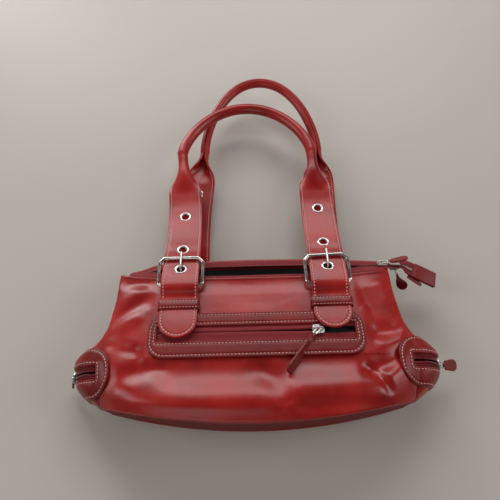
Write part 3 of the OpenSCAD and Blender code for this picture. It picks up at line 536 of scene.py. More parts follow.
def blank(name):
    """A new material with nothing in it but the object's own coordinates; gives it, its tree and them."""
    mat = bpy.data.materials.new(name)
    mat.use_nodes = True
    mat.node_tree.nodes.clear()
    return mat, mat.node_tree, add(mat.node_tree, "TexCoord").outputs["Object"]


def leather(name, dark, mid, light, rough, coat, grain_mm, grain_depth, crease, shine=0.5):
    """Aniline-dyed calf with a glazed top: colour that is darker in the hollows of its grain, a
    pebble of Voronoi cells over finer noise, long soft wrinkles, and a clear wax coat that gives the sharp
    second highlight."""
    _, t, at = blank(name)
    clouds = {"Vector": at, "Scale": 22.0, "Detail": 4.0, "Roughness": 0.6}
    cloud = add(t, "TexNoise", clouds).outputs["Fac"]
    cells = {"Vector": at, "Scale": 1000.0 / grain_mm, "Randomness": 1.0}
    pores = add(t, "TexVoronoi", cells, feature="DISTANCE_TO_EDGE").outputs["Distance"]
    fine = add(t, "TexNoise", {"Vector": at, "Scale": 2200.0 / grain_mm, "Detail": 3.0}).outputs["Fac"]
    colours = [(0.25, dark), (0.52, mid), (0.8, light)]
    colour = add(t, "ValToRGB", {"Fac": cloud}, colours).outputs["Color"]
    dips = {"Value": pores, "From Min": 0.0, "From Max": 0.16, "To Min": 0.82, "To Max": 1.0}
    groove = add(t, "MapRange", dips).outputs["Result"]
    # the colour sockets of a Mix node share their names with its other sockets, so they go by number
    tint = add(t, "Mix", {0: 1.0, 6: colour, 7: groove}, data_type="RGBA", blend_type="MULTIPLY")
    pebble = add(t, "MapRange", {"Value": pores, "From Min": 0.0, "From Max": 0.3}).outputs["Result"]
    height = add(t, "Math", {0: pebble, 1: fine}, operation="ADD").outputs["Value"]
    small = add(t, "Bump", {"Height": height, "Strength": 0.35, "Distance": grain_depth * MM})
    folded = {"Vector": at, "Scale": 55.0, "Detail": 2.5, "Distortion": 0.6}
    wrinkle = add(t, "TexNoise", folded).outputs["Fac"]
    large = add(t, "Bump", {"Height": wrinkle, "Strength": 0.5, "Distance": crease * MM,
                            "Normal": small.outputs["Normal"]})
    wander = {"From Min": 0.3, "From Max": 0.7, "To Min": rough - 0.04, "To Max": rough + 0.06}
    gloss = add(t, "MapRange", {"Value": cloud, **wander}).outputs["Result"]
    normal = large.outputs["Normal"]
    shader = add(t, "BsdfPrincipled", {
        "Base Color": tint.outputs[2], "Roughness": gloss, "IOR": 1.5, "Specular IOR Level": shine,
        "Coat Weight": coat, "Coat Roughness": 0.2, "Normal": normal, "Coat Normal": normal})
    add(t, "OutputMaterial", {"Surface": shader.outputs["BSDF"]})


def woven(name, colour, second, thread_mm, sheen):
    """Twill: two crossed sets of threads as sine waves, darker where they dip, with a soft sheen."""
    _, t, at = blank(name)
    threads = {"Vector": at, "Scale": 1000.0 / thread_mm / 6.283, "Distortion": 0.4, "Detail": 1.0}
    warp, weft = (add(t, "TexWave", threads, bands_direction=d).outputs["Fac"] for d in ("X", "Y"))
    weave = add(t, "Math", {0: warp, 1: weft}, operation="MULTIPLY").outputs["Value"]
    fuzz = add(t, "TexNoise", {"Vector": at, "Scale": 1500.0, "Detail": 2.0}).outputs["Fac"]
    both = add(t, "Math", {0: weave, 1: fuzz}, operation="ADD").outputs["Value"]
    half = add(t, "Math", {0: both, 1: 0.5}, operation="MULTIPLY").outputs["Value"]
    relief = add(t, "Bump", {"Height": half, "Strength": 0.5, "Distance": 0.15 * MM})
    tint = add(t, "ValToRGB", {"Fac": half}, [(0.2, second), (0.7, colour)])
    shader = add(t, "BsdfPrincipled", {
        "Base Color": tint.outputs["Color"], "Roughness": 0.8, "Sheen Weight": sheen,
        "Sheen Roughness": 0.4, "Normal": relief.outputs["Normal"]})
    add(t, "OutputMaterial", {"Surface": shader.outputs["BSDF"]})


def thread(name, colour, second):
    """Waxed polyester thread: twisted plies as a fine diagonal wave, lighter on the plies."""
    _, t, at = blank(name)
    plies = {"Vector": at, "Scale": 420.0, "Distortion": 1.5}
    ply = add(t, "TexWave", plies, bands_direction="DIAGONAL").outputs["Fac"]
    relief = add(t, "Bump", {"Height": ply, "Strength": 0.4, "Distance": 0.1 * MM})
    tint = add(t, "ValToRGB", {"Fac": ply}, [(0.1, second), (0.8, colour)])
    shader = add(t, "BsdfPrincipled", {
        "Base Color": tint.outputs["Color"], "Roughness": 0.5, "Sheen Weight": 0.2,
        "Normal": relief.outputs["Normal"]})
    add(t, "OutputMaterial", {"Surface": shader.outputs["BSDF"]})


def nickel(name, dull, bright, rough):
    """Nickel-plated zinc: a mirror that has been handled, so its roughness wanders and it has faint
    scratches."""
    _, t, at = blank(name)
    smear = add(t, "TexNoise", {"Vector": at, "Scale": 160.0, "Detail": 4.0}).outputs["Fac"]
    scratches = {"Vector": at, "Scale": 900.0, "Detail": 2.0, "Distortion": 2.0}
    rub = add(t, "TexNoise", scratches).outputs["Fac"]
    wander = {"From Min": 0.3, "From Max": 0.7, "To Min": rough - 0.02, "To Max": rough + 0.1}
    gloss = add(t, "MapRange", {"Value": smear, **wander}).outputs["Result"]
    relief = add(t, "Bump", {"Height": rub, "Strength": 0.02, "Distance": 0.004 * MM})
    tint = add(t, "ValToRGB", {"Fac": smear}, [(0.2, dull), (0.7, bright)])
    shader = add(t, "BsdfPrincipled", {
        "Base Color": tint.outputs["Color"], "Metallic": 1.0, "Roughness": gloss,
        "Normal": relief.outputs["Normal"]})
    add(t, "OutputMaterial", {"Surface": shader.outputs["BSDF"]})


def floor_paint(name):
    """Pale matt floor whose grey wanders slowly from place to place."""
    mat, t, at = blank(name)
    cloud = add(t, "TexNoise", {"Vector": at, "Scale": 1.2, "Detail": 2.0}).outputs["Fac"]
    tint = add(t, "ValToRGB", {"Fac": cloud}, [(0.3, "#bdb6ad"), (0.7, "#c5beb5")])
    shader = add(t, "BsdfPrincipled", {"Base Color": tint.outputs["Color"], "Roughness": 0.5})
    add(t, "OutputMaterial", {"Surface": shader.outputs["BSDF"]})
    return mat


def finishes():
    """The bag's materials by name, made once. The zip tapes aren't woven here: zip_tape is the plain
    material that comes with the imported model."""
    f = bpy.context.scene.bag_finish
    have = bpy.data.materials
    if "glazed_calf" not in have:
        leather("glazed_calf", f.leather_dark, f.leather_mid, f.leather_light, 0.33, 0.08, 1.1, 0.05, 0.5)
        # the base's leather colours are darker than the front's: painted shade, since the base faces away
        # from the light
        leather("base_calf", "#5e0a0b", "#7c110f", "#8f1715", 0.45, 0.0, 1.1, 0.05, 0.3, shine=0.05)
        # the trims' leather: its colours are darker than the front's as painted shade, matched to the shaded
        # lower band of the pocket frame
        leather("trim_calf", "#640b0a", "#7e1210", "#931a16", 0.35, 0.03, 0.9, 0.1, 0.3, shine=0.35)
        woven("lining_twill", "#17151a", "#08070a", 0.8, 0.15)
        thread("pink_thread", "#f4c8bf", "#c9827b")
        # red thread for the top edge, darkened as painted shade of the stitch holes
        thread("red_thread", "#7c1a1c", "#4a0c10")
        thread("zip_coil", "#8c1822", "#3f080c")
        nickel("nickel_plate", "#b9b5b0", "#e2dfda", 0.2)
    return have


# ---- sizes that a user would change ------------------------------------------------------
class BagBodySizes(bpy.types.PropertyGroup):
    fold_depth: bpy.props.FloatProperty(
        name="Fold depth", description="How deep the folds of the front are, as a share of the usual",
        default=1.0, min=0.0, max=1.5, subtype="FACTOR")
    edge_round: bpy.props.FloatProperty(
        name="Seam rounding", description="Radius that the panels roll over at their seams, in millimetres",
        default=2.2, min=0.5, max=4.0)
    stitch_step: bpy.props.FloatProperty(
        name="Stitch length", description="Length of one stitch, in millimetres",
        default=3.4, min=2.0, max=6.0)


class BagFinish(bpy.types.PropertyGroup):
    leather_dark: bpy.props.StringProperty(
        name="Leather, dark", description="sRGB colour of the leather's darkest clouds", default="#820f0d")
    leather_mid: bpy.props.StringProperty(
        name="Leather", description="sRGB colour of the leather", default="#a81914")
    leather_light: bpy.props.StringProperty(
        name="Leather, light", description="sRGB colour of the leather's lightest clouds", default="#bd231a")


# ---- body ----------------------------------------------------------------------------------
# Folds of the front: start x, y, end x, y, half width, depth (a ridge where it is negative)
FRONT_FOLDS = [
    # left of the pocket: valleys that fan out from the end pocket, with ridges between
    (-150, 60, -96, 92, 7, 3.0), (-146, 50, -112, 70, 6, -2.0), (-146, 96, -108, 112, 7, 1.6),
    (-152, 40, -100, 26, 6, 2.6), (-150, 32, -118, 40, 5, -1.6), (-138, 1, -86, 17, 7, 2.4),
    (-134, -8, -92, 4, 8, -1.4), (-142, 72, -118, 96, 7, -1.5),
    # right of the pocket: the long valley from the mouth and the folded crease below the end pocket
    (98, 102, 122, 46, 9, 2.6), (152, 54, 112, 46, 6, 2.4), (146, 44, 118, 34, 6, -1.8),
    (140, 24, 103, 9, 6, 3.6), (104, 10, 120, -10, 4, 3.4), (134, 14, 118, 2, 6, -2.2),
    (128, 104, 138, 84, 7, -1.2), (122, -6, 104, -22, 6, -1.2),
    # belly: the dent between the two bright swells
    (2, 14, 28, -24, 8, 2.8), (28, -22, 34, -34, 6, -1.6),
]
# Height of the stuffed lower front over its straight slope: (level, height)
SWELL = [(-36, -5.6), (-27, 0.8), (-20, 4.0), (-14, 4.4), (-8, 3.2), (-2, 1.0), (4, -0.9), (10, -1.5),
         (17, -1.0), (24, 0)]
SWELL_RISE = 8.0  # how much higher the fullness starts on the right
FRAME_LAP = 1.5  # how far the pocket's frame laps over the hole cut under it


def folds(x, y, lines):
    """Sum over folds of depth times a bell across the fold and a smooth rise and fall along it."""
    z = np.zeros_like(x)
    for x0, y0, x1, y1, w, d in lines:
        dx, dy = x1 - x0, y1 - y0
        l = math.hypot(dx, dy)
        s = ((x - x0) * dx + (y - y0) * dy) / l
        across = ((x - x0) * dy - (y - y0) * dx) / l + 0.06 * l * np.sin(np.pi * np.clip(s / l, 0, 1))
        span = np.clip(np.minimum(s + 0.35 * l, 1.35 * l - s) / (0.5 * l), 0, 1)
        z -= 0.95 * d * np.exp(-(across / (1.3 * w)) ** 2) * ease(span)
    return z


def swell(x, y):
    """How the stuffed front leaves the model's even crown: hollow under the pocket and fullest near the
    base. The profile is the mean of two blurred look-ups and slides up on the right."""
    level = y - SWELL_RISE * ease((x - 20) / 25)
    full = (soft(level, SWELL, 7.0) + soft(level, SWELL, 4.0)) / 2
    return (full - crown(below(y))) * ease((132 - np.abs(x)) / 24) * (y < FLAT_Y)


def hardware_calm(x, y):
    """1 on open leather and 0 under the pocket frame, keepers and buckles, with a soft step of 13 mm
    between."""
    def away(cx, cy, hx, hy):
        """Distance to a rectangle's edge as a share of the step."""
        dx, dy = (np.maximum(np.abs(v - c) - h, 0) for v, c, h in ((x, cx, hx), (y, cy, hy)))
        return np.clip(np.hypot(dx, dy) / 13, 0, 1)
    calm = away(0, POCKET_Y, POCKET_L / 2, POCKET_H / 2)
    for side in (-1, 1):
        calm = np.minimum(calm, away(side * STRAP_X, 92, 24, 22))
    return ease(calm)


def front_dents(x, y):
    """Folds of the front at the depth that the user sets."""
    return folds(x, y, FRONT_FOLDS) * bpy.context.scene.bag_body.fold_depth


def pocket_hole(p):
    """Places of the front under the inner edge of the pocket's frame and inside it."""
    q = put(np.linalg.inv(AT_POCKET), p)
    across = np.abs(q[:, 0]) < SLOT_L / 2 + FRAME_LAP
    return across & (np.abs(q[:, 1] - SLOT_UP + LIP_SAG / 2) < SLOT_H / 2 + FRAME_LAP + LIP_SAG / 2)


def end_hole(p):
    """Places of the ends inside the end pockets' slots, as far as under the frames' inner edges."""
    drop = np.where(p[:, 0] < 0, END_DROP[-1], END_DROP[1])
    return (np.abs(p[:, 0]) > BELLY_HALF - 4) & (np.abs(p[:, 1] - END_Y + drop) < END_SLOT / 2 + 1.2)


def tuck(p, a, b):
    """The back's top left corner, folded down behind the front's: it slides in and towards the base."""
    w = ease((-a - 0.7) / 0.3) * ease((b - 0.8) / 0.2)
    return p + np.stack([11 * w, -7 * w, 3 * w], -1)


def quarter_round(dist, r):
    """Drop of a quarter circle, from 0 at r from a border to 1 on it."""
    u = np.clip(1 - dist / r, 0, 1)
    return 1 - np.sqrt(1 - u * u)


def front_leather(k):
    """Both faces of the front panel: its even form with folds, a slow sway and the swell, rolled at its
    seams."""
    a, b = grid(closer(281, 0.35), 0.5 + 0.5 * closer(171, 0.3))
    p = front_point(a, b)
    x, y = p[..., 0], p[..., 1]
    edge = np.minimum.reduce([(1 - np.abs(a)) * BELLY_HALF, b * FRONT_LONG, (1 - b) * FRONT_LONG])
    free = ease(edge / 12) * hardware_calm(x, y)
    dents = front_dents(x, y)
    sway = 0.5 * np.sin(x / 31 + 1.3) * np.sin(y / 23 + 0.4) + 0.3 * np.sin(x / 13 + y / 17)
    slump = swell(x, y) * ease(b * FRONT_LONG / 14)
    outer = lifted(p, (dents + 0.6 * sway) * free + slump)
    outer = lifted(outer, -(PANEL - 0.1) * quarter_round(edge, k.edge_round))
    return outer, lifted(p, np.minimum(0, dents * free) + slump - PANEL)


def back_leather(k):
    """Both faces of the back panel, with its corner tucked in and its seams rolled."""
    a, b = grid(np.linspace(1, -1, 181), np.linspace(0, 1, 121))
    edge = np.minimum.reduce([(1 - np.abs(a)) * BELLY_HALF, b * BACK_LONG, (1 - b) * BACK_LONG])
    p = tuck(back_point(a, b), a, b)
    return lifted(p, (PANEL - 0.1) * quarter_round(edge, k.edge_round)), lifted(p, PANEL)


def base_leather(k):
    """Both faces of the base. Its middle is drawn in under the belly by up to 4.6 mm, as a sine round
    the bow, so that the lower seam hides behind the upper one."""
    a, c = grid(np.linspace(-1, 1, 161), np.linspace(0, 1, 25))
    edge = np.minimum(np.minimum(c, 1 - c) * BASE_LONG, (1 - np.abs(a)) * BELLY_HALF)
    draw = 4.6 * np.sin(np.pi * np.clip((1.06 - c) / 1.1, 0, 1)) * (1 - a * a)
    outer, inner = base_point(a, c), base_point(a, c, PANEL)
    ripple = 0.35 * np.sin(outer[..., 0] / 19) * ease(edge / 10)
    outer[..., 1] += draw + (PANEL - 0.1) * quarter_round(edge, k.edge_round) + ripple
    inner[..., 1] += draw
    return outer, inner


def gusset_leather(side):
    """Both faces of a gusset: half an ellipse round, crumpled inwards above the end pocket by crossed
    sines."""
    c, b = grid(np.linspace(0, 1, 49), np.linspace(0, 1, 121))
    crumple = 1.2 * np.sin(np.pi * c) * np.sin(b * 34 + 3 * c + side)
    crumple = np.abs(crumple * ease((b - 0.5) / 0.1) * ease((0.97 - b) / 0.1))
    sheets = [end_point(c, b, d) for d in (0, PANEL)]
    for p in sheets:
        p[..., 0] = (p[..., 0] - crumple) * side
    return sheets


class BAG_OT_body(bpy.types.Operator):
    """Front, back and base panels and both gussets, with rolled seams and folds"""
    bl_idname = "bag.body"
    bl_label = "Body panels"

    def execute(self, context):
        m = finishes()
        k = context.scene.bag_body
        front = shell(*front_leather(k), lambda q: pocket_hole(q) | end_hole(q))
        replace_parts(make("front_leather", *front, m["glazed_calf"]), "front_panel")
        back = shell(*back_leather(k), end_hole)
        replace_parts(make("back_leather", *back, m["glazed_calf"]), "back_panel")
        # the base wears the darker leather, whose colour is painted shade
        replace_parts(make("base_leather", *shell(*base_leather(k)), m["base_calf"]), "base_panel")
        for side, word in ((-1, "left"), (1, "right")):
            sheets = shell(*gusset_leather(side), end_hole)
            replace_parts(make(word + "_gusset_leather", *sheets, m["glazed_calf"]), word + "_gusset")
        return {"FINISHED"}


# ---- lining --------------------------------------------------------------------------------
# how far the lining stands inside the front (behind the pouch), the base and the back, and its thickness
LINING_FRONT, LINING_BASE, LINING_BACK, LINING_T = 7.4, 6.5, 0.8, 0.7
POUCH_T = 3.9


def hollow(x, y):
    """How far the front's leather lies inside its even crown, which the cloth behind it follows."""
    return np.minimum(0, front_dents(x, y) * hardware_calm(x, y) + swell(x, y))


def lining_loop(extra):
    """Once round the inside: down the front, across the base and up the back, extra further in."""
    across, up = np.linspace(-0.93, 0.93, 121), np.linspace(0.075, 0.935, 60)
    front = front_point(*grid(across, up[::-1]))
    front = lifted(front, hollow(front[..., 0], front[..., 1]) - LINING_FRONT - extra)
    base = base_point(*grid(across, np.linspace(0.86, 0.14, 14)), PANEL + LINING_BASE + extra)
    back = lifted(back_point(*grid(across, up)), PANEL + LINING_BACK + extra)
    return np.concatenate([front, base, back], 1)


class BAG_OT_lining(bpy.types.Operator):
    """Black lining of the main compartment and the hidden pouch of the front pocket"""
    bl_idname = "bag.lining"
    bl_label = "Lining"

    def execute(self, context):
        m = finishes()
        bag = make("black_lining", *shell(lining_loop(0.0), lining_loop(LINING_T)), m["lining_twill"])
        x, y = grid(np.linspace(-100, 100, 41), np.linspace(-1, 61, 21))
        top = np.stack([x, y, front_z(x, y) - PANEL - 0.4 + hollow(x, y)], -1)
        pouch = make("pocket_pouch_cloth", *shell(top, lifted(top, -POUCH_T)), m["lining_twill"])
        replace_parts(bag, "lining")
        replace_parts(pouch, "pocket_pouch")
        return {"FINISHED"}


# ---- padded frames and pulls -----------------------------------------------------------------
def sd_box(x, y, hx, hy, r):
    """Distance to the edge of a rounded rectangle, negative inside it."""
    qx, qy = np.abs(x) - hx + r, np.abs(y) - hy + r
    return np.hypot(np.maximum(qx, 0), np.maximum(qy, 0)) + np.minimum(np.maximum(qx, qy), 0) - r


def outline(hx, hy, r, nx=110, ny=16, nc=12):
    """Points round a rounded rectangle, with nx and ny steps on its sides and nc on each corner."""
    arcs = corners(hx, hy, r, nc)
    parts = []
    for c in range(4):
        a, b, n = arcs[c][-1], arcs[(c + 1) % 4][0], (nx, ny)[c % 2]
        parts += [arcs[c], a + (b - a) * (np.arange(1, n) / n)[:, None]]
    return np.concatenate(parts)


def frame_skin(outer, inner, shift, low, seam, place):
    """A padded leather frame between two rounded rectangles (hx, hy, r), the inner one moved up by
    shift. Its edges are quarter rounds and it dips along the two stitch rows; place(x, y, h) lays it on
    the bag."""
    thick = 1.8
    o, i = outline(*outer), outline(*inner) + [0, shift]
    w = np.concatenate([[0, 0.012, 0.03, 0.06], np.linspace(0.09, 0.91, 30), [0.94, 0.97, 0.988, 1]])
    w = w[None, :, None]
    p = o[:, None] * (1 - w) + i[:, None] * w
    d_out = -sd_box(p[..., 0], p[..., 1], *outer)
    d_in = sd_box(p[..., 0], p[..., 1] - shift, *inner)
    d = np.minimum(d_out, d_in)
    dip = 0.42 * np.exp(-((d - seam) / 0.75) ** 2)
    top = low + thick * (1 - 0.6 * quarter_round(d, 0.9)) + 0.35 * ease(d / 6) - dip
    skin = place(p[..., 0], p[..., 1], top)
    feet = [place(q[:, 0], q[:, 1], low - 1.5 + 0 * q[:, 0])[:, None] for q in (o, i)]
    return tube(np.concatenate([feet[0], skin, feet[1]], 1), True)


def frame_seams(outer, inner, shift, height, seam, place, step):
    """The two rows of stitches on a frame, one along each edge."""
    rows = []
    for (hx, hy, r), k, up in ((outer, -seam, 0.0), (inner, seam, shift)):
        q = outline(hx + k, hy + k, max(0.8, r + k)) + [0, up]
        path = place(q[:, 0], q[:, 1], height + 0 * q[:, 0])
        out = unit(place(q[:, 0], q[:, 1], height + 1 + 0 * q[:, 0]) - path)
        rows.append(stitches_on(path, out, step, STITCH_R, lift=0.18, closed=True))
    return join(rows)


# the pull's leather starts this far from its slider, past the wire link
LINK_L = 7.5
# one edge of a pull's cross-section: (inset from the edge in mm, share of the half thickness)
PULL_EDGE = np.array([(1.6, 1.0), (0.45, 0.97), (0.0, 0.72), (0.0, 0.3), (0.5, 0.0), (0.0, -0.3),
                      (0.0, -0.72), (0.45, -0.97), (1.6, -1.0)])


def pull_leather(length, w0, w1, half, twist, bend):
    """A pull strip of two layers folded round the link's bar: narrow at the bar, then from width w0 to
    w1 and a round end. Each cross-section is a bar with a groove along both edges, turned by up to
    twist degrees; the strip bends as a square."""
    reach = length - LINK_L
    round_at = reach - w1 / 2
    last = reach - w1 / 2 * (1 - np.sin(np.linspace(0.12, 1.56, 10)))
    u = np.concatenate([np.linspace(-1.15, 2.2, 9), np.linspace(2.7, round_at, 26), last])
    wide = np.where(u < 2.2, half - 0.65, np.interp(u, [2.2, round_at], [w0 / 2, w1 / 2]))
    tip = np.maximum(0, u - round_at) / (w1 / 2)
    wide = wide * np.sqrt(np.maximum(1e-4, 1 - tip ** 2))
    fold = np.sqrt(np.maximum(0.05, 1.2 ** 2 - np.minimum(u, 0) ** 2))
    thick = (np.where(u < 0, fold, 1.15) * np.where(tip > 0.9, 0.8, 1.0))[:, None]
    inset, share = PULL_EDGE.T
    x = np.maximum(0.02, wide[:, None] - inset)
    z = thick * share
    groove = np.where(inset == 1.6, 0.88, 1.0)
    middle = 0 * x[:, :1]
    left, right = np.stack([x, z * groove], -1), np.stack([-x[:, ::-1], z[:, ::-1] * groove], -1)
    under, over = np.stack([middle, -thick], -1), np.stack([middle, thick], -1)
    ring = np.concatenate([left, under, right, over], 1)
    a = np.radians(twist) * ease(u / 14)[:, None]
    y = ring[..., 0] * np.cos(a) - ring[..., 1] * np.sin(a)
    rise = bend * (np.maximum(u, 0) / length)[:, None] ** 2
    h = ring[..., 0] * np.sin(a) + ring[..., 1] * np.cos(a) + rise
    return tube(np.stack([u[:, None] + LINK_L + 0 * y, y, h], -1))


def add_pull(word, at, yaw, pitch, length, w0, w1, half=2.4, twist=0.0, bend=0.0):
    """Makes the leather of a pull at its slider's place and puts it on the pull's body."""
    m = at @ move(0, 0, 3.5) @ turn("z", yaw) @ turn("y", pitch)
    solid = placed(m, pull_leather(length, w0, w1, half, twist, bend))
    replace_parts(make(word + "_leather", *solid, finishes()["trim_calf"], body=word), word)


# ---- front pocket ------------------------------------------------------------------------------
# the zip tapes' rows: distance from the teeth and height; and the tapes' reach from the zip's middle
TAPE_ROWS = np.array([(0, 0.35), (0.1, 0.95), (0.45, 1.28), (1.2, 1.36), (2.3, 1.2), (3.1, 0.75),
                      (4.4, 0.62), (6.2, 0.62), (7.4, 0.62)])
TAPE_REACH = 10.9
POCKET_PULL_X = 60.0


def pocket_place(x, y, h):
    """A place on the pocket's frame, h over the front, which it follows by six tenths at the sides."""
    y = y - BAND_DROP
    level = POCKET_Y + y * math.cos(math.radians(SLOPE))
    sag = front_z(x, level) - front_mid(level)
    return put(AT_POCKET, np.stack([x, y, h + 0.6 * sag], -1))


def pocket_gap(x):
    """Half the zip's gap: it is shut on the left of its slider and opens in a smooth step on the
    right."""
    return 0.35 + 0.9 * ease((x + 20) / 80) + 2.3 * ease((x - POCKET_PULL_X + 2) / 7)


def pocket_tape(s):
    """One of the pocket's zip tapes: rolled at the teeth, with a faint ripple."""
    x = np.linspace(-99.5, 99.5, 260)[:, None]
    gap = pocket_gap(x)
    out, high = TAPE_ROWS.T
    y = s * (gap + out * ((TAPE_REACH - gap) / out[-1]))
    z = high + 0.16 * np.sin(x / 9 + s) * (out < 4)
    top = np.stack([x + 0 * y, y + SLOT_UP, z], -1)
    return placed(AT_POCKET, shell(top, lifted(top, -0.45)))


def pocket_loops(s):
    """One row of the pocket's zip coil: small bars across the row."""
    x = np.arange(-94, 94, 1.5)
    c = np.stack([x, SLOT_UP + s * (pocket_gap(x) + 0.5), 0.3 + 0 * x], -1)
    along, up = np.broadcast_to([0.12, 1.0, 0], c.shape), np.broadcast_to([0, 0, 1.0], c.shape)
    return placed(AT_POCKET, grains(c, along, up, 0.95, 0.5, 1.1))


class BAG_OT_pocket(bpy.types.Operator):
    """Front pocket: padded frame, zip tapes, coil, pull and both stitch rows"""
    bl_idname = "bag.pocket"
    bl_label = "Front pocket"

    def execute(self, context):
        m = finishes()
        step = context.scene.bag_body.stitch_step
        outer = (POCKET_L / 2, POCKET_H / 2 + BAND_DROP, POCKET_R + 4)
        inner = (SLOT_L / 2, (SLOT_H + LIP_SAG) / 2, 0.6)
        shift = SLOT_UP - LIP_SAG / 2 + BAND_DROP
        skin = frame_skin(outer, inner, shift, 0.9, 2.7, pocket_place)
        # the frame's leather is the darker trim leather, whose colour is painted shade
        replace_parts(make("pocket_frame_leather", *skin, m["trim_calf"]), "pocket_frame")
        seams = frame_seams(outer, inner, shift, 2.62, 2.7, pocket_place, step)
        make("pocket_stitches", *seams, m["pink_thread"])
        tapes = join([pocket_tape(s) for s in (-1, 1)])
        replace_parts(make("pocket_zip_tapes", *tapes, m["zip_tape"]), "pocket_tapes")
        coil = join([pocket_loops(s) for s in (-1, 1)])
        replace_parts(make("pocket_coil", *coil, m["zip_coil"]), "pocket_teeth")
        at = AT_POCKET @ move(POCKET_PULL_X, SLOT_UP, 0.7)
        add_pull("pocket_pull", at, -126.5, 1.2, 54, 7, 11, 1.7, twist=-62)
        return {"FINISHED"}


# ---- mouth ---------------------------------------------------------------------------------------
TAPE_END = 139.0  # where the mouth's tapes leave the bag for the tail
# how far the front's and the back's tape hang into the open mouth, and how far they draw apart
TAPE_FALL, TAPE_APART = {-1: 5.5, 1: 3.0}, {-1: 2.6, 1: 5.4}
# places across a tape, from 0 at its panel's edge to 1 at its teeth, and the place of its hem
TAPE_SHARES = [0, 0.1, 0.22, 0.36, 0.5, 0.62, 0.7, 0.76, 0.79, 0.82, 0.88, 0.94, 1.0]
HEM_AT = 0.76
# the tail's folded tab: its lower edge, its width, half the way between its two layers, and its rings
# as (share of its length, half a layer's thickness)
TAB_LOW, TAB_W, TAB_R = -8.4, 15.4, 1.2
TAB_RINGS = ((0.0, 0.35), (0.012, 0.68), (0.03, 0.75), (0.1, 0.75), (0.13, 0.6), (0.16, 0.75), (0.5, 0.78),
             (0.88, 0.75), (0.91, 0.6), (0.94, 0.75), (0.98, 0.7), (1.0, 0.35))


def row_in(x):
    """Distance of the mouth's zip teeth from the zip's middle line: the mouth gapes as a parabola."""
    return 0.6 + 8.5 * np.maximum(0, 1 - (x / 114.8) ** 2)


def gape(x):
    """How open the mouth is at x, from 0 to 1."""
    return np.clip(row_in(x) / 9, 0, 1) * (x < TAPE_END)


def along(y):
    """Place down the mouth's plane of a place y along the bag."""
    return (2 * y - MOUTH_SUM) / math.sqrt(2)


def mouth_place(x, s, z):
    """A place on the mouth's zip; past the bag's corner it bends down with the zip's loose tail."""
    bag = put(AT_MOUTH, np.stack([x, s + ZIP_S, z], -1))
    # the corner's outer part is folded down with the back's corner
    w = ease((-x - 96) / 42) * ease((s + 6) / 12)
    bag = bag + np.stack([9 * w, -6.5 * w, 2.5 * w], -1)
    tail = put(AT_TAIL, np.stack([x - TAIL_X, s, z], -1))
    w = ease((x - TAIL_X + 6) / 14)[..., None]
    return bag * (1 - w) + tail * w


def mouth_tape(s):
    """Both faces of the tape on the front's side (s = -1) or the back's. It starts under its panel's
    edge, hangs into the mouth as a narrow strip, is thicker at its hem and ripples as crossed sines."""
    x = np.concatenate([np.linspace(-133, TAPE_END, 200), np.linspace(140.5, TAIL_X + TAIL_L, 26)])
    x, w = grid(x, TAPE_SHARES)
    a = np.clip(x / TOP_HALF, -1, 1)
    edge = front_edge(a) + 1.4 if s < 0 else back_edge(a) - 2.3
    out = np.where(x > TAPE_END, s * 8.0, along(edge) - ZIP_S + s * 2.6)
    y = out * (1 - w) + s * (row_in(x) + 0.5) * w + s * gape(x) * TAPE_APART[s] * ease((w - 0.2) / 0.8)
    on_bag = x < TAPE_END
    hem = 0.45 * np.exp(-((w - HEM_AT) / 0.035) ** 2)
    fall = gape(x) * TAPE_FALL[s] * ease((w - 0.12) / 0.88)
    ripple = 0.35 * np.sin(x / 15 + 2 * w) * np.sin(np.pi * w) * on_bag
    z = -0.9 * ease(1 - w / 0.2) * on_bag + 0.35 + hem - fall + ripple
    return mouth_place(x, y, z), mouth_place(x, y, z - 0.6)


def mouth_teeth(s):
    """One row of the mouth's teeth: small bars across the row, on the tape's inner edge."""
    x = np.arange(-131, TAIL_X + TAIL_L - 5, 1.6)
    y = s * (row_in(x) + 0.9 + gape(x) * TAPE_APART[s])
    z = 0.25 - gape(x) * TAPE_FALL[s]
    p = mouth_place(x, y, z)
    across = unit(mouth_place(x + 0.15, y + s, z) - p)
    return grains(p, across, unit(mouth_place(x, y, z + 1) - p), 1.1, 0.62, 1.15)


def tail_tab():
    """One strip folded over the tail: two flat layers that meet in a rounded fold on the upper edge.
    Its ends slant, and its rings are thinner along the two seams."""
    v = np.linspace(0, 1, 40)
    high = TAB_LOW + TAB_W
    layers = [np.stack([TAB_LOW + TAB_W * v, TAB_R + 0 * v], -1),
              np.stack([high + TAB_R * np.sin(np.pi * v), TAB_R * np.cos(np.pi * v)], -1)[1:-1],
              np.stack([high - TAB_W * v, -TAB_R + 0 * v], -1)]
    path = upright(np.concatenate(layers))
    slant = (path[:, 1] - TAB_LOW) / TAB_W
    out = np.cross(unit(np.gradient(path, axis=0)), [1.0, 0, 0])
    rings = []
    for t, lift in TAB_RINGS:
        x = (12 + 1.5 * slant) * (1 - t) + (41.5 - 2.0 * slant) * t
        mid = path + np.stack([x, 0 * x, 0 * x], -1)
        rings.append(np.concatenate([mid + out * lift, (mid - out * lift)[::-1]]))
    return placed(AT_TAIL, tube(np.array(rings)))


def tail_strip():
    """The narrow strip that the tab's end is drawn through: a bar whose end narrows as a circle."""
    u = np.concatenate([np.linspace(0, 15.5, 16), 15.5 + 2.2 * np.sin(np.linspace(0.2, 1.57, 6))])
    mid = np.stack([10 + u, -8.6 - 0.16 * u, -1.6 - 0.03 * u], -1)
    half = 2.2 * np.sqrt(np.clip(1 - (np.maximum(0, u - 15.5) / 2.25) ** 2, 0.01, 1))
    profile = rounded(2, 1.5, 0.6)[None] * np.stack([half, 0 * half + 1], -1)[:, None]
    return placed(AT_TAIL, tube(sweep(mid, profile)))


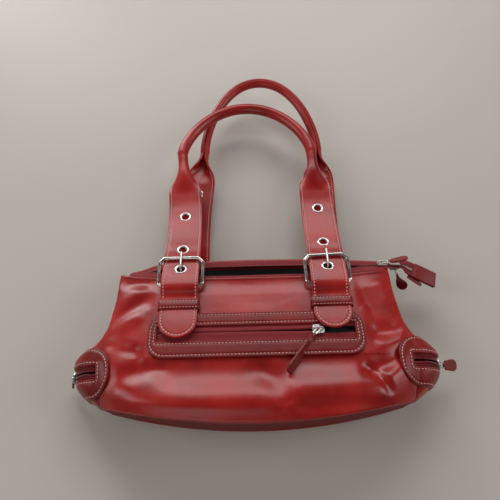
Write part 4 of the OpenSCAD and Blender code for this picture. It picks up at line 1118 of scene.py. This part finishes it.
class BAG_OT_mouth(bpy.types.Operator):
    """Top zip: both tapes with their hems, the coil, the tail's leather tab and both pulls"""
    bl_idname = "bag.mouth"
    bl_label = "Top zip"

    def execute(self, context):
        m = finishes()
        for s, word in ((-1, "front"), (1, "back")):
            tape = shell(*mouth_tape(s))
            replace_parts(make("mouth_tape_%s_cloth" % word, *tape, m["zip_tape"]), "mouth_tape_" + word)
            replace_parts(make("mouth_coil_" + word, *mouth_teeth(s), m["zip_coil"]), "mouth_teeth_" + word)
        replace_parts(make("mouth_tab_leather", *tail_tab(), m["trim_calf"]), "mouth_end_tab")
        make("mouth_tail_strip", *tail_strip(), m["trim_calf"])
        at_a = AT_MOUTH @ move(TOP_HALF - 4.5, ZIP_S, 0)
        at_b = AT_MOUTH @ move(TOP_HALF + 8.5, ZIP_S, 0) @ mirror(1, 1, -1)
        add_pull("mouth_pull_a", at_a, -8, -12, 27, 9, 12, bend=1.5)
        add_pull("mouth_pull_b", at_b, -14, -62, 27, 9, 12, twist=70)
        return {"FINISHED"}


# ---- end pockets -----------------------------------------------------------------------------
# each end's frame is shorter round the front than the model's, and its pull hangs by its own yaw and
# pitch
END_SHORT, END_YAW, END_PITCH = {-1: 6.0, 1: 1.0}, {-1: 0, 1: 12}, {-1: -18, 1: -56}
END_BAND = 14.0  # width of the frame past the ends of its slot


def end_place(side):
    """Gives the function that lays (along the wrap, up the bag, outwards) on the leather of one end."""
    def place(l, y, h):
        return wrap_point(l, END_Y - END_DROP[side] + y, h) * [side, 1, 1]
    return place


def end_tape(place, s):
    """A tape bunched into pleats that run along the slot as sines and close up at its ends."""
    l, t = grid(np.linspace(-WRAP - 4, WRAP + 4, 130), np.linspace(0, 1, 26))
    pleat = np.sin(t * 17 + 0.8 * np.sin(l / 9) + s) * ease((1 - np.abs(l) / (WRAP + 4)) / 0.12)
    wave_h = 0.75 * pleat * ease(t / 0.15) * ease((1 - t) / 0.1)
    top, low = (place(l, s * (1.1 + 6.6 * t), h + wave_h + 0.3 * t) for h in (-1.1, -1.6))
    return shell(top, low)


def end_teeth(place, s):
    """One row of an end zip's teeth, round the wrap."""
    q = np.arange(-74, 74, 3.1) / 90 * WRAP
    p, up = (place(q, s * 1.7 + 0 * q, h + 0 * q) for h in (-0.5, 0.5))
    return grains(p, np.broadcast_to([0.0, 1.0, 0.1], p.shape), up - p, 1.1, 0.6, 1.1)


def lowered(node, body, drop, slip):
    """A steel piece of an end pocket, as the model has it but moved towards the base with the pocket's
    leather. It slips along the zip too, so that it moves along the pull's own axis and the pull still
    turns about that axis."""
    shape = bpy.data.objects[node].data
    v = np.empty(len(shape.vertices) * 3)
    shape.vertices.foreach_get("co", v)
    v = v.reshape(-1, 3) / MM - [0, drop, slip]
    faces = [tuple(f.vertices) for f in shape.polygons]
    steel = finishes()["nickel_plate"]
    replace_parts(make(node + "_plated", v, faces, steel, body=body, smooth=False), node)


class BAG_OT_ends(bpy.types.Operator):
    """End pockets: leather frames wrapped round both ends, bunched tapes, coils, pulls and stitches"""
    bl_idname = "bag.ends"
    bl_label = "End pockets"

    def execute(self, context):
        m = finishes()
        step = context.scene.bag_body.stitch_step
        for side, word in ((-1, "left"), (1, "right")):
            place = end_place(side)
            reach = WRAP + END_REACH - END_SHORT[side]
            outer = (reach, END_H / 2 - 1, END_H / 2 - 2)
            inner = (reach - END_BAND, END_SLOT / 2, 1.2)
            skin = frame_skin(outer, inner, 0.0, 0.5, 2.6, place)
            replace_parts(make(word + "_end_frame_leather", *skin, m["trim_calf"]), word + "_end_frame")
            seams = frame_seams(outer, inner, 0.0, 2.25, 2.6, place, step)
            make(word + "_end_stitches", *seams, m["pink_thread"])
            tapes = join([end_tape(place, s) for s in (-1, 1)])
            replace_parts(make(word + "_end_tapes_cloth", *tapes, m["zip_tape"]), word + "_end_tapes")
            teeth = join([end_teeth(place, s) for s in (-1, 1)])
            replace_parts(make(word + "_end_coil", *teeth, m["zip_coil"]), word + "_end_teeth")
            drop = END_DROP[side]
            slip = drop * math.tan(math.radians(END_YAW[side]))
            lowered(word + "_end_slider", word + "_end_slider", drop, slip)
            lowered(word + "_end_link", word + "_end_pull", drop, slip)
            at = at_end(side) @ move(END_R - 0.2, -drop, -slip) @ turn("y", 90)
            add_pull(word + "_end_pull", at, END_YAW[side], END_PITCH[side], 27, 9, 12, bend=1.0)
        return {"FINISHED"}


# ---- straps ------------------------------------------------------------------------------
# heights of the strap over its panel: at its tip, over the buckle's loop and under the buckle's far bar
TIP_Z, OVER_Z, UNDER_Z, BAR_Y = 4.6, 10.3, 6.3, 32.92
# the length over which a strap rolls into its grip
SHOULDER = 46.0
# where the straps leave their buckles
FRONT_Y0, FRONT_Z0 = 140.991, 50.747
BACK_Y0, BACK_Z0 = 163.0, 11.8
# the strap's line at a buckle, as (y, height) from the chape's loop and after its tip
BUCKLE_LINE = [(-38, TIP_Z + 0.7), (-27, TIP_Z + 0.1), (-14, TIP_Z + 0.1), (-10.8, TIP_Z + 0.35),
               (-8, TIP_Z + 1.3), (-4.2, OVER_Z - 1.2), (0, OVER_Z), (5, OVER_Z - 0.1), (11, OVER_Z - 0.55),
               (19, OVER_Z - 1.9), (27.6, UNDER_Z + 0.7), (BAR_Y, UNDER_Z), (38.5, 5.05)]
# Each handle: where its straps start and meet the grip, the grip's arch, half width and shift across,
# the straps' reach past their loops, the way to their open eyelets, the arch's power, the grip's
# radius, which way it rolls, where it starts to roll, its hinge, and heights as (y, height)
STRAPS = {
    "front": dict(
        start=FRONT_Y0 + 0.3, seam=283.0, arch=72.0, half=79.0, shift=-5.0, shift0=0.0, tips=(56.5, 49.5),
        eyelets=((3.5, 53.0), (10.5, 61.0)), power=1.28, grip=6.3, curl=-1, roll_from=226.0,
        hinge=(0, FRONT_Y0 + 0.7, FRONT_Z0 + 1.55),
        heights=[(FRONT_Y0, FRONT_Z0), (FRONT_Y0 + 22, FRONT_Z0 - 7.8), (FRONT_Y0 + 49, 35.5),
                 (FRONT_Y0 + 71, 33), (245, 34), (283, 36), (323, 35.6), (355, 35)]),
    "back": dict(
        start=BACK_Y0 + 0.6, seam=298.0, arch=103.0, half=71.5, shift=BACK_SHIFT + 7.0, shift0=BACK_SHIFT,
        tips=(48.0, 48.0), eyelets=((22.0, 76.0), (22.0, 72.0)), power=1.1, grip=5.75, curl=1,
        roll_from=252.0, hinge=(BACK_SHIFT, BACK_Y0 + 0.1, BACK_Z0 + 1.7),
        heights=[(BACK_Y0, BACK_Z0), (BACK_Y0 + 12, BACK_Z0 - 0.4), (BACK_Y0 + 33, BACK_Z0 - 0.4),
                 (BACK_Y0 + 61, BACK_Z0 + 0.4), (BACK_Y0 + 83, BACK_Z0 + 1.2), (272, 15.5), (298, 18.4),
                 (323, 20.6), (343, 23), (401, 34)]),
}
# places across half a strap, from its edge, closer at the edge and at the groove under the stitches
EDGE = np.array([0, 0.12, 0.4, 0.9, 1.9, 2.35, 2.8, 3.25, 3.9, 5.2, 7.0, 9.2, 11.8, 14.6, 17.2, 18.95])
STITCH_IN = 2.8  # from a strap's edge to its row of stitches
# half of a pressed eyelet's outline as (radius, height): barrel, ring and the edge sunk in the leather
EYELET = [(4.1, -1.7), (4.1, 1.0), (4.3, 1.55), (4.9, 1.98), (5.6, 2.0), (6.25, 1.75), (6.7, 1.2),
          (6.8, 0.6), (6.0, 0.5), (4.6, 0.5), (4.55, -1.7)]
EYELET_HOLE, EYELET_Y = 4.6, 19.3


def strap_x(f, y, side):
    """Where the strap's middle is across the bag at a level y: it closes in as the square of the way to
    the grip."""
    u = (y - f["start"]) / (f["seam"] - f["start"])
    half = STRAP_X + (f["half"] - STRAP_X) * u * u
    return f["shift0"] + (f["shift"] - f["shift0"]) * u * u + side * half


def steadied(p, at):
    """The path with its corners averaged over 3 mm, for steady directions."""
    def sampled(k):
        s = np.clip(at + k, 0, at[-1])
        return np.stack([np.interp(s, at, p[:, i]) for i in range(3)], -1)
    return sum(sampled(k) for k in (-3, -1.5, 0, 1.5, 3)) / 5


def strap_path(word):
    """The middle line of a whole handle from one strap tip over the grip to the other, at 1.6 mm steps,
    with its side and up directions, how far it has rolled into the grip and the way to the nearer tip.
    The grip's arch is a power of a sine over a cosine."""
    f = STRAPS[word]
    ends = []
    for tip, side in zip(f["tips"], (-1, 1)):
        buckle = put(at_station(word, side), upright([(-tip, TIP_Z + 1.3)] + BUCKLE_LINE))
        y = np.linspace(f["start"] + 1.5, f["seam"], 22)
        strap = np.stack([strap_x(f, y, side), y, soft(y, f["heights"], 5.0)], -1)
        ends.append(np.concatenate([buckle, strap]))
    q = np.pi * (1 - np.arange(1, 48) / 48)
    y = f["seam"] + f["arch"] * np.sin(q) ** f["power"]
    arch = np.stack([f["shift"] + f["half"] * np.cos(q), y, soft(y, f["heights"], 7.0)], -1)
    p = resample(curve(np.concatenate([ends[0], arch, ends[1][::-1]]), 2400), 1.6)
    d = np.concatenate([[0], np.cumsum(np.linalg.norm(np.diff(p, axis=0), axis=1))])
    # extra rings close to the tips, where the outline turns
    more = np.array([0.02, 0.12, 0.35, 0.8, 2.4, 4.0])
    at = np.sort(np.concatenate([d, more, d[-1] - more]))
    p = np.stack([np.interp(at, d, p[:, k]) for k in range(3)], -1)
    _, s, n = frames(steadied(p, at))
    roll, cover = ease((p[:, 1] - f["roll_from"]) / SHOULDER), ease((p[:, 1] - f["seam"] + 1) / 2.2)
    return dict(p=p, s=-s, n=n, d=np.minimum(at, at[-1] - at), at=at, roll=roll, cover=cover,
                grip=f["grip"], curl=f["curl"])


def bend_strap(path, at, x, z):
    """Places on a handle. The flat strap has x to its side and z up; where it rolls into the grip it is
    bent round a centre above or below it, so x becomes an angle x / R and z takes off from the radius
    R. The angle at the strap's edge grows from nothing to just under half a turn, where both edges
    meet."""
    def look(key):
        """A row of vectors of the path at the places at."""
        return np.stack([np.interp(at, path["at"], path[key][:, k]) for k in range(3)], -1)[:, None]
    r = np.interp(at, path["at"], path["roll"])[:, None]
    cover = np.interp(at, path["at"], path["cover"])[:, None]
    half = STRAP_W / 2 + ((path["grip"] - 1.35) * np.pi - STRAP_W / 2) * r
    x = x * half / (STRAP_W / 2)
    a = 0.985 * np.pi * r
    R = half / np.maximum(a, 1e-4)
    depth = path["curl"] * z * (1 - 0.1 * r)
    u = (R - depth) * np.sin(x / R)
    h = path["curl"] * (R - (R - depth) * np.cos(x / R) - R * (1 - np.cos(np.minimum(a, np.pi))) / 2)
    size = 1 - 0.06 * r * (1 - cover) + 0.02 * cover
    return look("p") + unit(look("s")) * (u * size)[..., None] + unit(look("n")) * (h * size)[..., None]


def strap_skin(path):
    """Cross-sections of a handle: a flat strap with eased edges and a groove under each row of
    stitches, whose half width at the tips is a half circle's."""
    d, tip = path["d"][:, None], STRAP_W / 2
    back = tip - np.minimum(d, tip)
    x = np.maximum(0.0, np.sqrt(np.maximum(1e-6, tip ** 2 - back ** 2)) - EDGE[None, :])
    dist = np.where(d < tip, tip - np.hypot(x, back), tip - x)
    groove = 0.3 * np.exp(-((dist - STITCH_IN) / 0.5) ** 2)
    z = STRAP_T / 2 - 0.9 * quarter_round(dist, 0.9) - groove + 0.12 * ease((dist - 4) / 8)
    x = np.concatenate([x, -x[:, ::-1], -x, x[:, ::-1]], 1)
    z = np.concatenate([z, z[:, ::-1], -z, -z[:, ::-1]], 1)
    return bend_strap(path, path["at"], x, z)


def strap_stitches(path, step):
    """Stitches along both edges of the flat straps and round their tips, as far as a strap lies open."""
    total, tip, inset = path["at"][-1], STRAP_W / 2, STRAP_W / 2 - STITCH_IN
    flat = path["at"][path["roll"] < 0.42]
    left, right = flat[flat < total / 2].max(), flat[flat > total / 2].min()
    q = np.radians(np.linspace(-90, 90, 60))[1:-1]
    rows = []
    for start, way, long in ((0.0, 1, left), (total, -1, total - right)):
        run = np.linspace(tip, long, 160)
        at = start + way * np.concatenate([run[::-1], tip - inset * np.cos(q), run])
        x = np.concatenate([-inset + 0 * run, inset * np.sin(q), inset + 0 * run])[:, None]
        p, over = (bend_strap(path, at, x, z + 0 * x)[:, 0] for z in (1.42, 2.3))
        rows.append(stitches_on(p, unit(over - p), step, STRAP_STITCH_R))
    return join(rows)


def eyelet():
    """A pressed eyelet: its outline turned about its axis in 9 degree steps."""
    r, h = np.array(EYELET).T
    q = np.radians(np.arange(40) * 9.0)[:, None]
    return tube(np.stack([r * np.cos(q), r * np.sin(q), h + 0 * q], -1), True)


def eyelet_places(word):
    """The eyelets of a handle, left strap first: the one on the prong and the two open ones."""
    f = STRAPS[word]
    out = []
    tilt = math.degrees(math.atan((OVER_Z - 0.55 - UNDER_Z - 0.7) / 16.6))
    high = OVER_Z - 0.55 - math.tan(math.radians(tilt)) * (EYELET_Y - 11)
    for eyelets, side in zip(f["eyelets"], (-1, 1)):
        out.append(at_station(word, side) @ move(0, EYELET_Y, high) @ turn("x", -tilt))
        for e in eyelets:
            y = f["start"] + e
            z, before, after = (float(table(y + k, f["heights"])) for k in (0, -7, 7))
            slope = math.degrees(math.atan2(after - before, 14))
            out.append(move(float(strap_x(f, y, side)), y, z) @ turn("x", slope))
    return out


def cut_holes(obj, places, r):
    """Cuts round holes through a mesh at each place (a matrix whose Z is the hole's axis)."""
    q = np.radians(np.arange(32) * 11.25)
    rod = tube(np.stack([np.stack([r * np.cos(q), r * np.sin(q), h + 0 * q], -1) for h in (-6.0, 6.0)]))
    rods = join([placed(m, rod) for m in places])
    tool = make(obj.name + "_holes", *rods, obj.data.materials[0], body=None)
    mod = obj.modifiers.new("holes", "BOOLEAN")
    mod.operation, mod.object, mod.solver = "DIFFERENCE", tool, "EXACT"
    mesh = bpy.data.meshes.new_from_object(obj.evaluated_get(bpy.context.evaluated_depsgraph_get()))
    obj.modifiers.clear()
    old = obj.data
    obj.data = mesh
    bpy.data.meshes.remove(old)
    bpy.data.objects.remove(tool, do_unlink=True)
    mesh.polygons.foreach_set("use_smooth", [True] * len(mesh.polygons))


class BAG_OT_handles(bpy.types.Operator):
    """Both handles: straps with rounded tips, eyelet holes and stitches that roll into round grips"""
    bl_idname = "bag.handles"
    bl_label = "Handles and straps"

    def execute(self, context):
        m = finishes()
        step = context.scene.bag_body.stitch_step
        for word in ("front", "back"):
            handle = word + "_handle"
            path = strap_path(word)
            obj = make(handle + "_leather", *tube(strap_skin(path)), m["glazed_calf"], body=None)
            places = eyelet_places(word)
            cut_holes(obj, places, EYELET_HOLE)
            on_prongs, open_ones = places[::3], places[1:3] + places[4:]
            for node, body, some in ((word + "_strap", "bag", on_prongs), (handle, handle, open_ones)):
                rings = join([placed(at, eyelet()) for at in some])
                rings = make(node + "_eyelet_rings", *rings, m["nickel_plate"], body=body)
                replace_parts(rings, node + "_eyelets")
            seams = strap_stitches(path, step)
            seams = make(word + "_strap_stitches", *seams, m["pink_thread"], body=None)
            for piece in (obj, seams):
                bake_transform(piece)
            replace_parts(obj, word + "_handle", word + "_left_strap_end", word + "_right_strap_end")
        return {"FINISHED"}


# ---- buckle leathers ---------------------------------------------------------------------------
CHAPE_T = 1.4
# the chape's two lugs stand this far from its middle and are this wide; they fold round the buckle's
# bar at HEEL_Z
LUG_X, LUG_W, HEEL_Z, HEEL_R = 10.15, 13.7, 4.3, 3.3
# the keeper: its place below the loop, its half sizes, and the half width of its flat and of its two
# grooves
KEEPER_Y, KEEPER_HX, KEEPER_HZ, KEEPER_MID = -20.4, 20.05, 3.05, 4.0
KEEPER_FLAT, KEEPER_SEAM, KEEPER_T = 4.9, 3.5, 0.65


def chape(at):
    """The strips of one chape: a flat foot and two lugs folded 240 degrees round the buckle's bar."""
    q = np.radians(np.linspace(-90, 150, 26))
    fold = np.stack([HEEL_R * np.cos(q), HEEL_Z + HEEL_R * np.sin(q)], -1)[1:]
    foot, end = [(-26.4, 1.0), (-18, 1.0), (-9, 1.0), (-3, 1.0)], [(-5.4, 4.2), (-7.6, 2.9)]
    lug = upright(np.concatenate([foot, fold, end]))
    strips = [sweep(lug + [x, 0, 0], rounded(CHAPE_T, LUG_W, 0.5), up=(1, 0, 0)) for x in (-LUG_X, LUG_X)]
    strips.append(sweep(upright([(y, 1.0) for y in (-26.5, -20, -14, -8)]), rounded(34, CHAPE_T, 0.5)))
    return [placed(at, tube(rings)) for rings in strips]


def keeper(at):
    """The band of one keeper: a rounded rectangle round the strap, thinner along its two rows of
    stitches."""
    ring = outline(KEEPER_HX, KEEPER_HZ, 2.3, 30, 4, 8)
    path = np.stack([ring[:, 0], 0 * ring[:, 0] + KEEPER_Y, ring[:, 1] + KEEPER_MID], -1)
    y = np.linspace(-KEEPER_FLAT, KEEPER_FLAT, 29)
    outside = np.stack([KEEPER_T - 0.28 * np.exp(-((np.abs(y) - KEEPER_SEAM) / 0.55) ** 2), y], -1)
    inside = [(0.35, 5.25), (-0.35, 5.25), (-KEEPER_T, KEEPER_FLAT), (-KEEPER_T, -KEEPER_FLAT),
              (-0.35, -5.25), (0.35, -5.25)]
    profile = np.concatenate([outside, inside])
    return placed(at, tube(sweep(path, profile, up=(0, 1, 0), closed=True), True))


def keeper_seam(at, y, step):
    """One row of stitches on a keeper, across its top."""
    x = np.linspace(-STRAP_W / 2, STRAP_W / 2, 60)
    row = put(at, np.stack([x, 0 * x + KEEPER_Y + y, 0 * x + 7.5], -1))
    return stitch_row(row, at[:3, 2], step, 0.0)


class BAG_OT_chapes(bpy.types.Operator):
    """Strips folded round the buckles' bars, and the keepers that hold the strap tips"""
    bl_idname = "bag.chapes"
    bl_label = "Buckle leathers and keepers"

    def execute(self, context):
        m = finishes()
        step = context.scene.bag_body.stitch_step * 0.9
        for word in ("front", "back"):
            stations = [at_station(word, side) for side in (-1, 1)]
            strips = join([strip for at in stations for strip in chape(at)])
            bands = join([keeper(at) for at in stations])
            seams = join([keeper_seam(at, y, step) for at in stations for y in (-KEEPER_SEAM, KEEPER_SEAM)])
            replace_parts(make(word + "_chape_leather", *strips, m["trim_calf"]), word + "_chapes")
            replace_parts(make(word + "_keeper_leather", *bands, m["trim_calf"]), word + "_keepers")
            make(word + "_keeper_stitches", *seams, m["pink_thread"])
        return {"FINISHED"}


class BAG_OT_edging(bpy.types.Operator):
    """Red stitches along the front's top edge, their thread darkened as painted shade of the stitch holes"""
    bl_idname = "bag.edging"
    bl_label = "Top edge stitches"

    def execute(self, context):
        a = np.linspace(-0.965, 0.965, 220)
        path = front_point(a, 1 - 3.4 / (front_edge(a) - base_edge(a)))
        row = stitch_row(path, (0, 0.3, 0.95), context.scene.bag_body.stitch_step, 0.45)
        make("top_edge_stitches", *row, finishes()["red_thread"])
        return {"FINISHED"}


STEEL_WORDS = ("buckle", "prong", "eyelets", "slider", "link")


def is_steel(name):
    """Whether a piece of the model is steel, by its last word; the mouth's sliders and links end in a
    letter."""
    if name.rsplit("_", 1)[-1] in STEEL_WORDS:
        return True
    return name.startswith("mouth_") and ("slider" in name or "link" in name)


class BAG_OT_metal(bpy.types.Operator):
    """Nickel plate on buckles, prongs, eyelets, sliders and links"""
    bl_idname = "bag.metal"
    bl_label = "Metalwork"

    def execute(self, context):
        steel = finishes()["nickel_plate"]
        found = [o for o in bpy.data.objects if o.type == "MESH" and is_steel(o.name)]
        if len(found) < 20:
            raise RuntimeError("the model's steel pieces are missing")
        for obj in found:
            for place in obj.material_slots:
                place.material = steel
        return {"FINISHED"}


# ---- stage -------------------------------------------------------------------------------
FLOOR_HALF = 6.0  # in metres, as all of the stage
# each lamp: name, place, what it is aimed at, width, height and power in watts
LAMPS = (
    ("window", (0.1, 1.8, 1.28), (0.0, 0.1, 0.0), 1.8, 1.0, 21.0),
    ("far", (-1.2, 2.1, 0.75), (0.0, 0.0, 0.0), 1.4, 0.5, 18.0),
    ("left", (-1.5, 0.1, 0.95), (0.0, 0.0, 0.0), 1.0, 0.8, 8.0),
    ("right", (1.5, 0.1, 0.95), (0.0, 0.0, 0.0), 1.0, 0.8, 9.0),
    ("fill", (-0.5, -1.5, 1.0), (0.0, 0.0, 0.0), 1.2, 1.0, 5.0),
)
SKY, SKY_POWER = "#dcdad6", 0.12
# the camera's place, its tilt back from straight down and its roll in degrees, its sensor and lens in mm
EYE, TILT, ROLL, SENSOR, LENS = (-0.004, -0.085, 0.514), 26.2, 1.4, 36.0, 34.56


def look_from(obj, place, x, y, z):
    """Stands an object at a place with its axes along x, y and z."""
    m = np.eye(4)
    m[:3, 0], m[:3, 1], m[:3, 2], m[:3, 3] = x, y, z, place
    obj.matrix_world = Matrix(m.tolist())


def add_floor():
    """A square floor under the bag."""
    me = bpy.data.meshes.new("floor")
    square = [(x * FLOOR_HALF, y * FLOOR_HALF, 0) for x, y in ((-1, -1), (1, -1), (1, 1), (-1, 1))]
    me.from_pydata(square, [], [(0, 1, 2, 3)])
    me.materials.append(floor_paint("pale_floor"))
    return collection_link(bpy.data.objects.new("floor", me))


def add_lamp(name, place, aim, w, h, power):
    """A rectangular soft lamp that looks at its aim."""
    lamp = bpy.data.lights.new(name, "AREA")
    lamp.shape, lamp.size, lamp.size_y, lamp.energy = "RECTANGLE", w, h, power
    obj = collection_link(bpy.data.objects.new(name, lamp))
    z = unit(np.array(place) - np.array(aim))
    x = unit(np.cross([0, 1.0, 0.001], z))
    look_from(obj, place, x, np.cross(z, x), z)
    return obj


def add_camera():
    """The camera: over the bag, tilted back from straight down and a little rolled."""
    cam = bpy.data.cameras.new("camera")
    cam.sensor_width, cam.lens = SENSOR, LENS
    obj = collection_link(bpy.data.objects.new("camera", cam))
    tilt, roll = math.radians(TILT), math.radians(ROLL)
    level_up = np.array([0, math.cos(tilt), math.sin(tilt)])
    right = np.array([math.cos(roll), 0, 0]) - level_up * math.sin(roll)
    up = np.array([math.sin(roll), 0, 0]) + level_up * math.cos(roll)
    look_from(obj, EYE, right, up, np.array([0, -math.sin(tilt), math.cos(tilt)]))
    return obj


class BAG_OT_stage(bpy.types.Operator):
    """Pale floor, soft studio light and the camera"""
    bl_idname = "bag.stage"
    bl_label = "Stage"

    def execute(self, context):
        scene = context.scene
        props = [add_floor()] + [add_lamp(*lamp) for lamp in LAMPS] + [add_camera()]
        scene.camera = props[-1]
        world = bpy.data.worlds.new("studio")
        scene.world = world
        world.use_nodes = True
        world.node_tree.nodes.clear()
        sky = add(world.node_tree, "Background", {"Color": linear(SKY), "Strength": SKY_POWER})
        add(world.node_tree, "OutputWorld", {"Surface": sky.outputs[0]})
        scene.view_settings.view_transform = "Standard"
        return {"FINISHED"}


# ---- add-on ------------------------------------------------------------------------------
OPERATORS = (BAG_OT_body, BAG_OT_lining, BAG_OT_pocket, BAG_OT_mouth, BAG_OT_ends, BAG_OT_chapes,
             BAG_OT_handles, BAG_OT_edging, BAG_OT_metal, BAG_OT_stage)


class BAG_PT_panel(bpy.types.Panel):
    bl_idname = "BAG_PT_panel"
    bl_label = "Handbag"
    bl_space_type = "VIEW_3D"
    bl_region_type = "UI"
    bl_category = "Handbag"

    def draw(self, context):
        for group in (context.scene.bag_body, context.scene.bag_finish):
            box = self.layout.box()
            for key in type(group).__annotations__:
                box.prop(group, key)
        for op in OPERATORS:
            self.layout.operator(op.bl_idname)


CLASSES = (BagBodySizes, BagFinish) + OPERATORS + (BAG_PT_panel,)


def register():
    for c in CLASSES:
        bpy.utils.register_class(c)
    bpy.types.Scene.bag_body = bpy.props.PointerProperty(type=BagBodySizes)
    bpy.types.Scene.bag_finish = bpy.props.PointerProperty(type=BagFinish)


def unregister():
    del bpy.types.Scene.bag_body
    del bpy.types.Scene.bag_finish
    for c in reversed(CLASSES):
        bpy.utils.unregister_class(c)


def main():
    register()
    for op in OPERATORS:
        group, name = op.bl_idname.split(".")
        getattr(getattr(bpy.ops, group), name)()


if __name__ == "__main__":
    main()
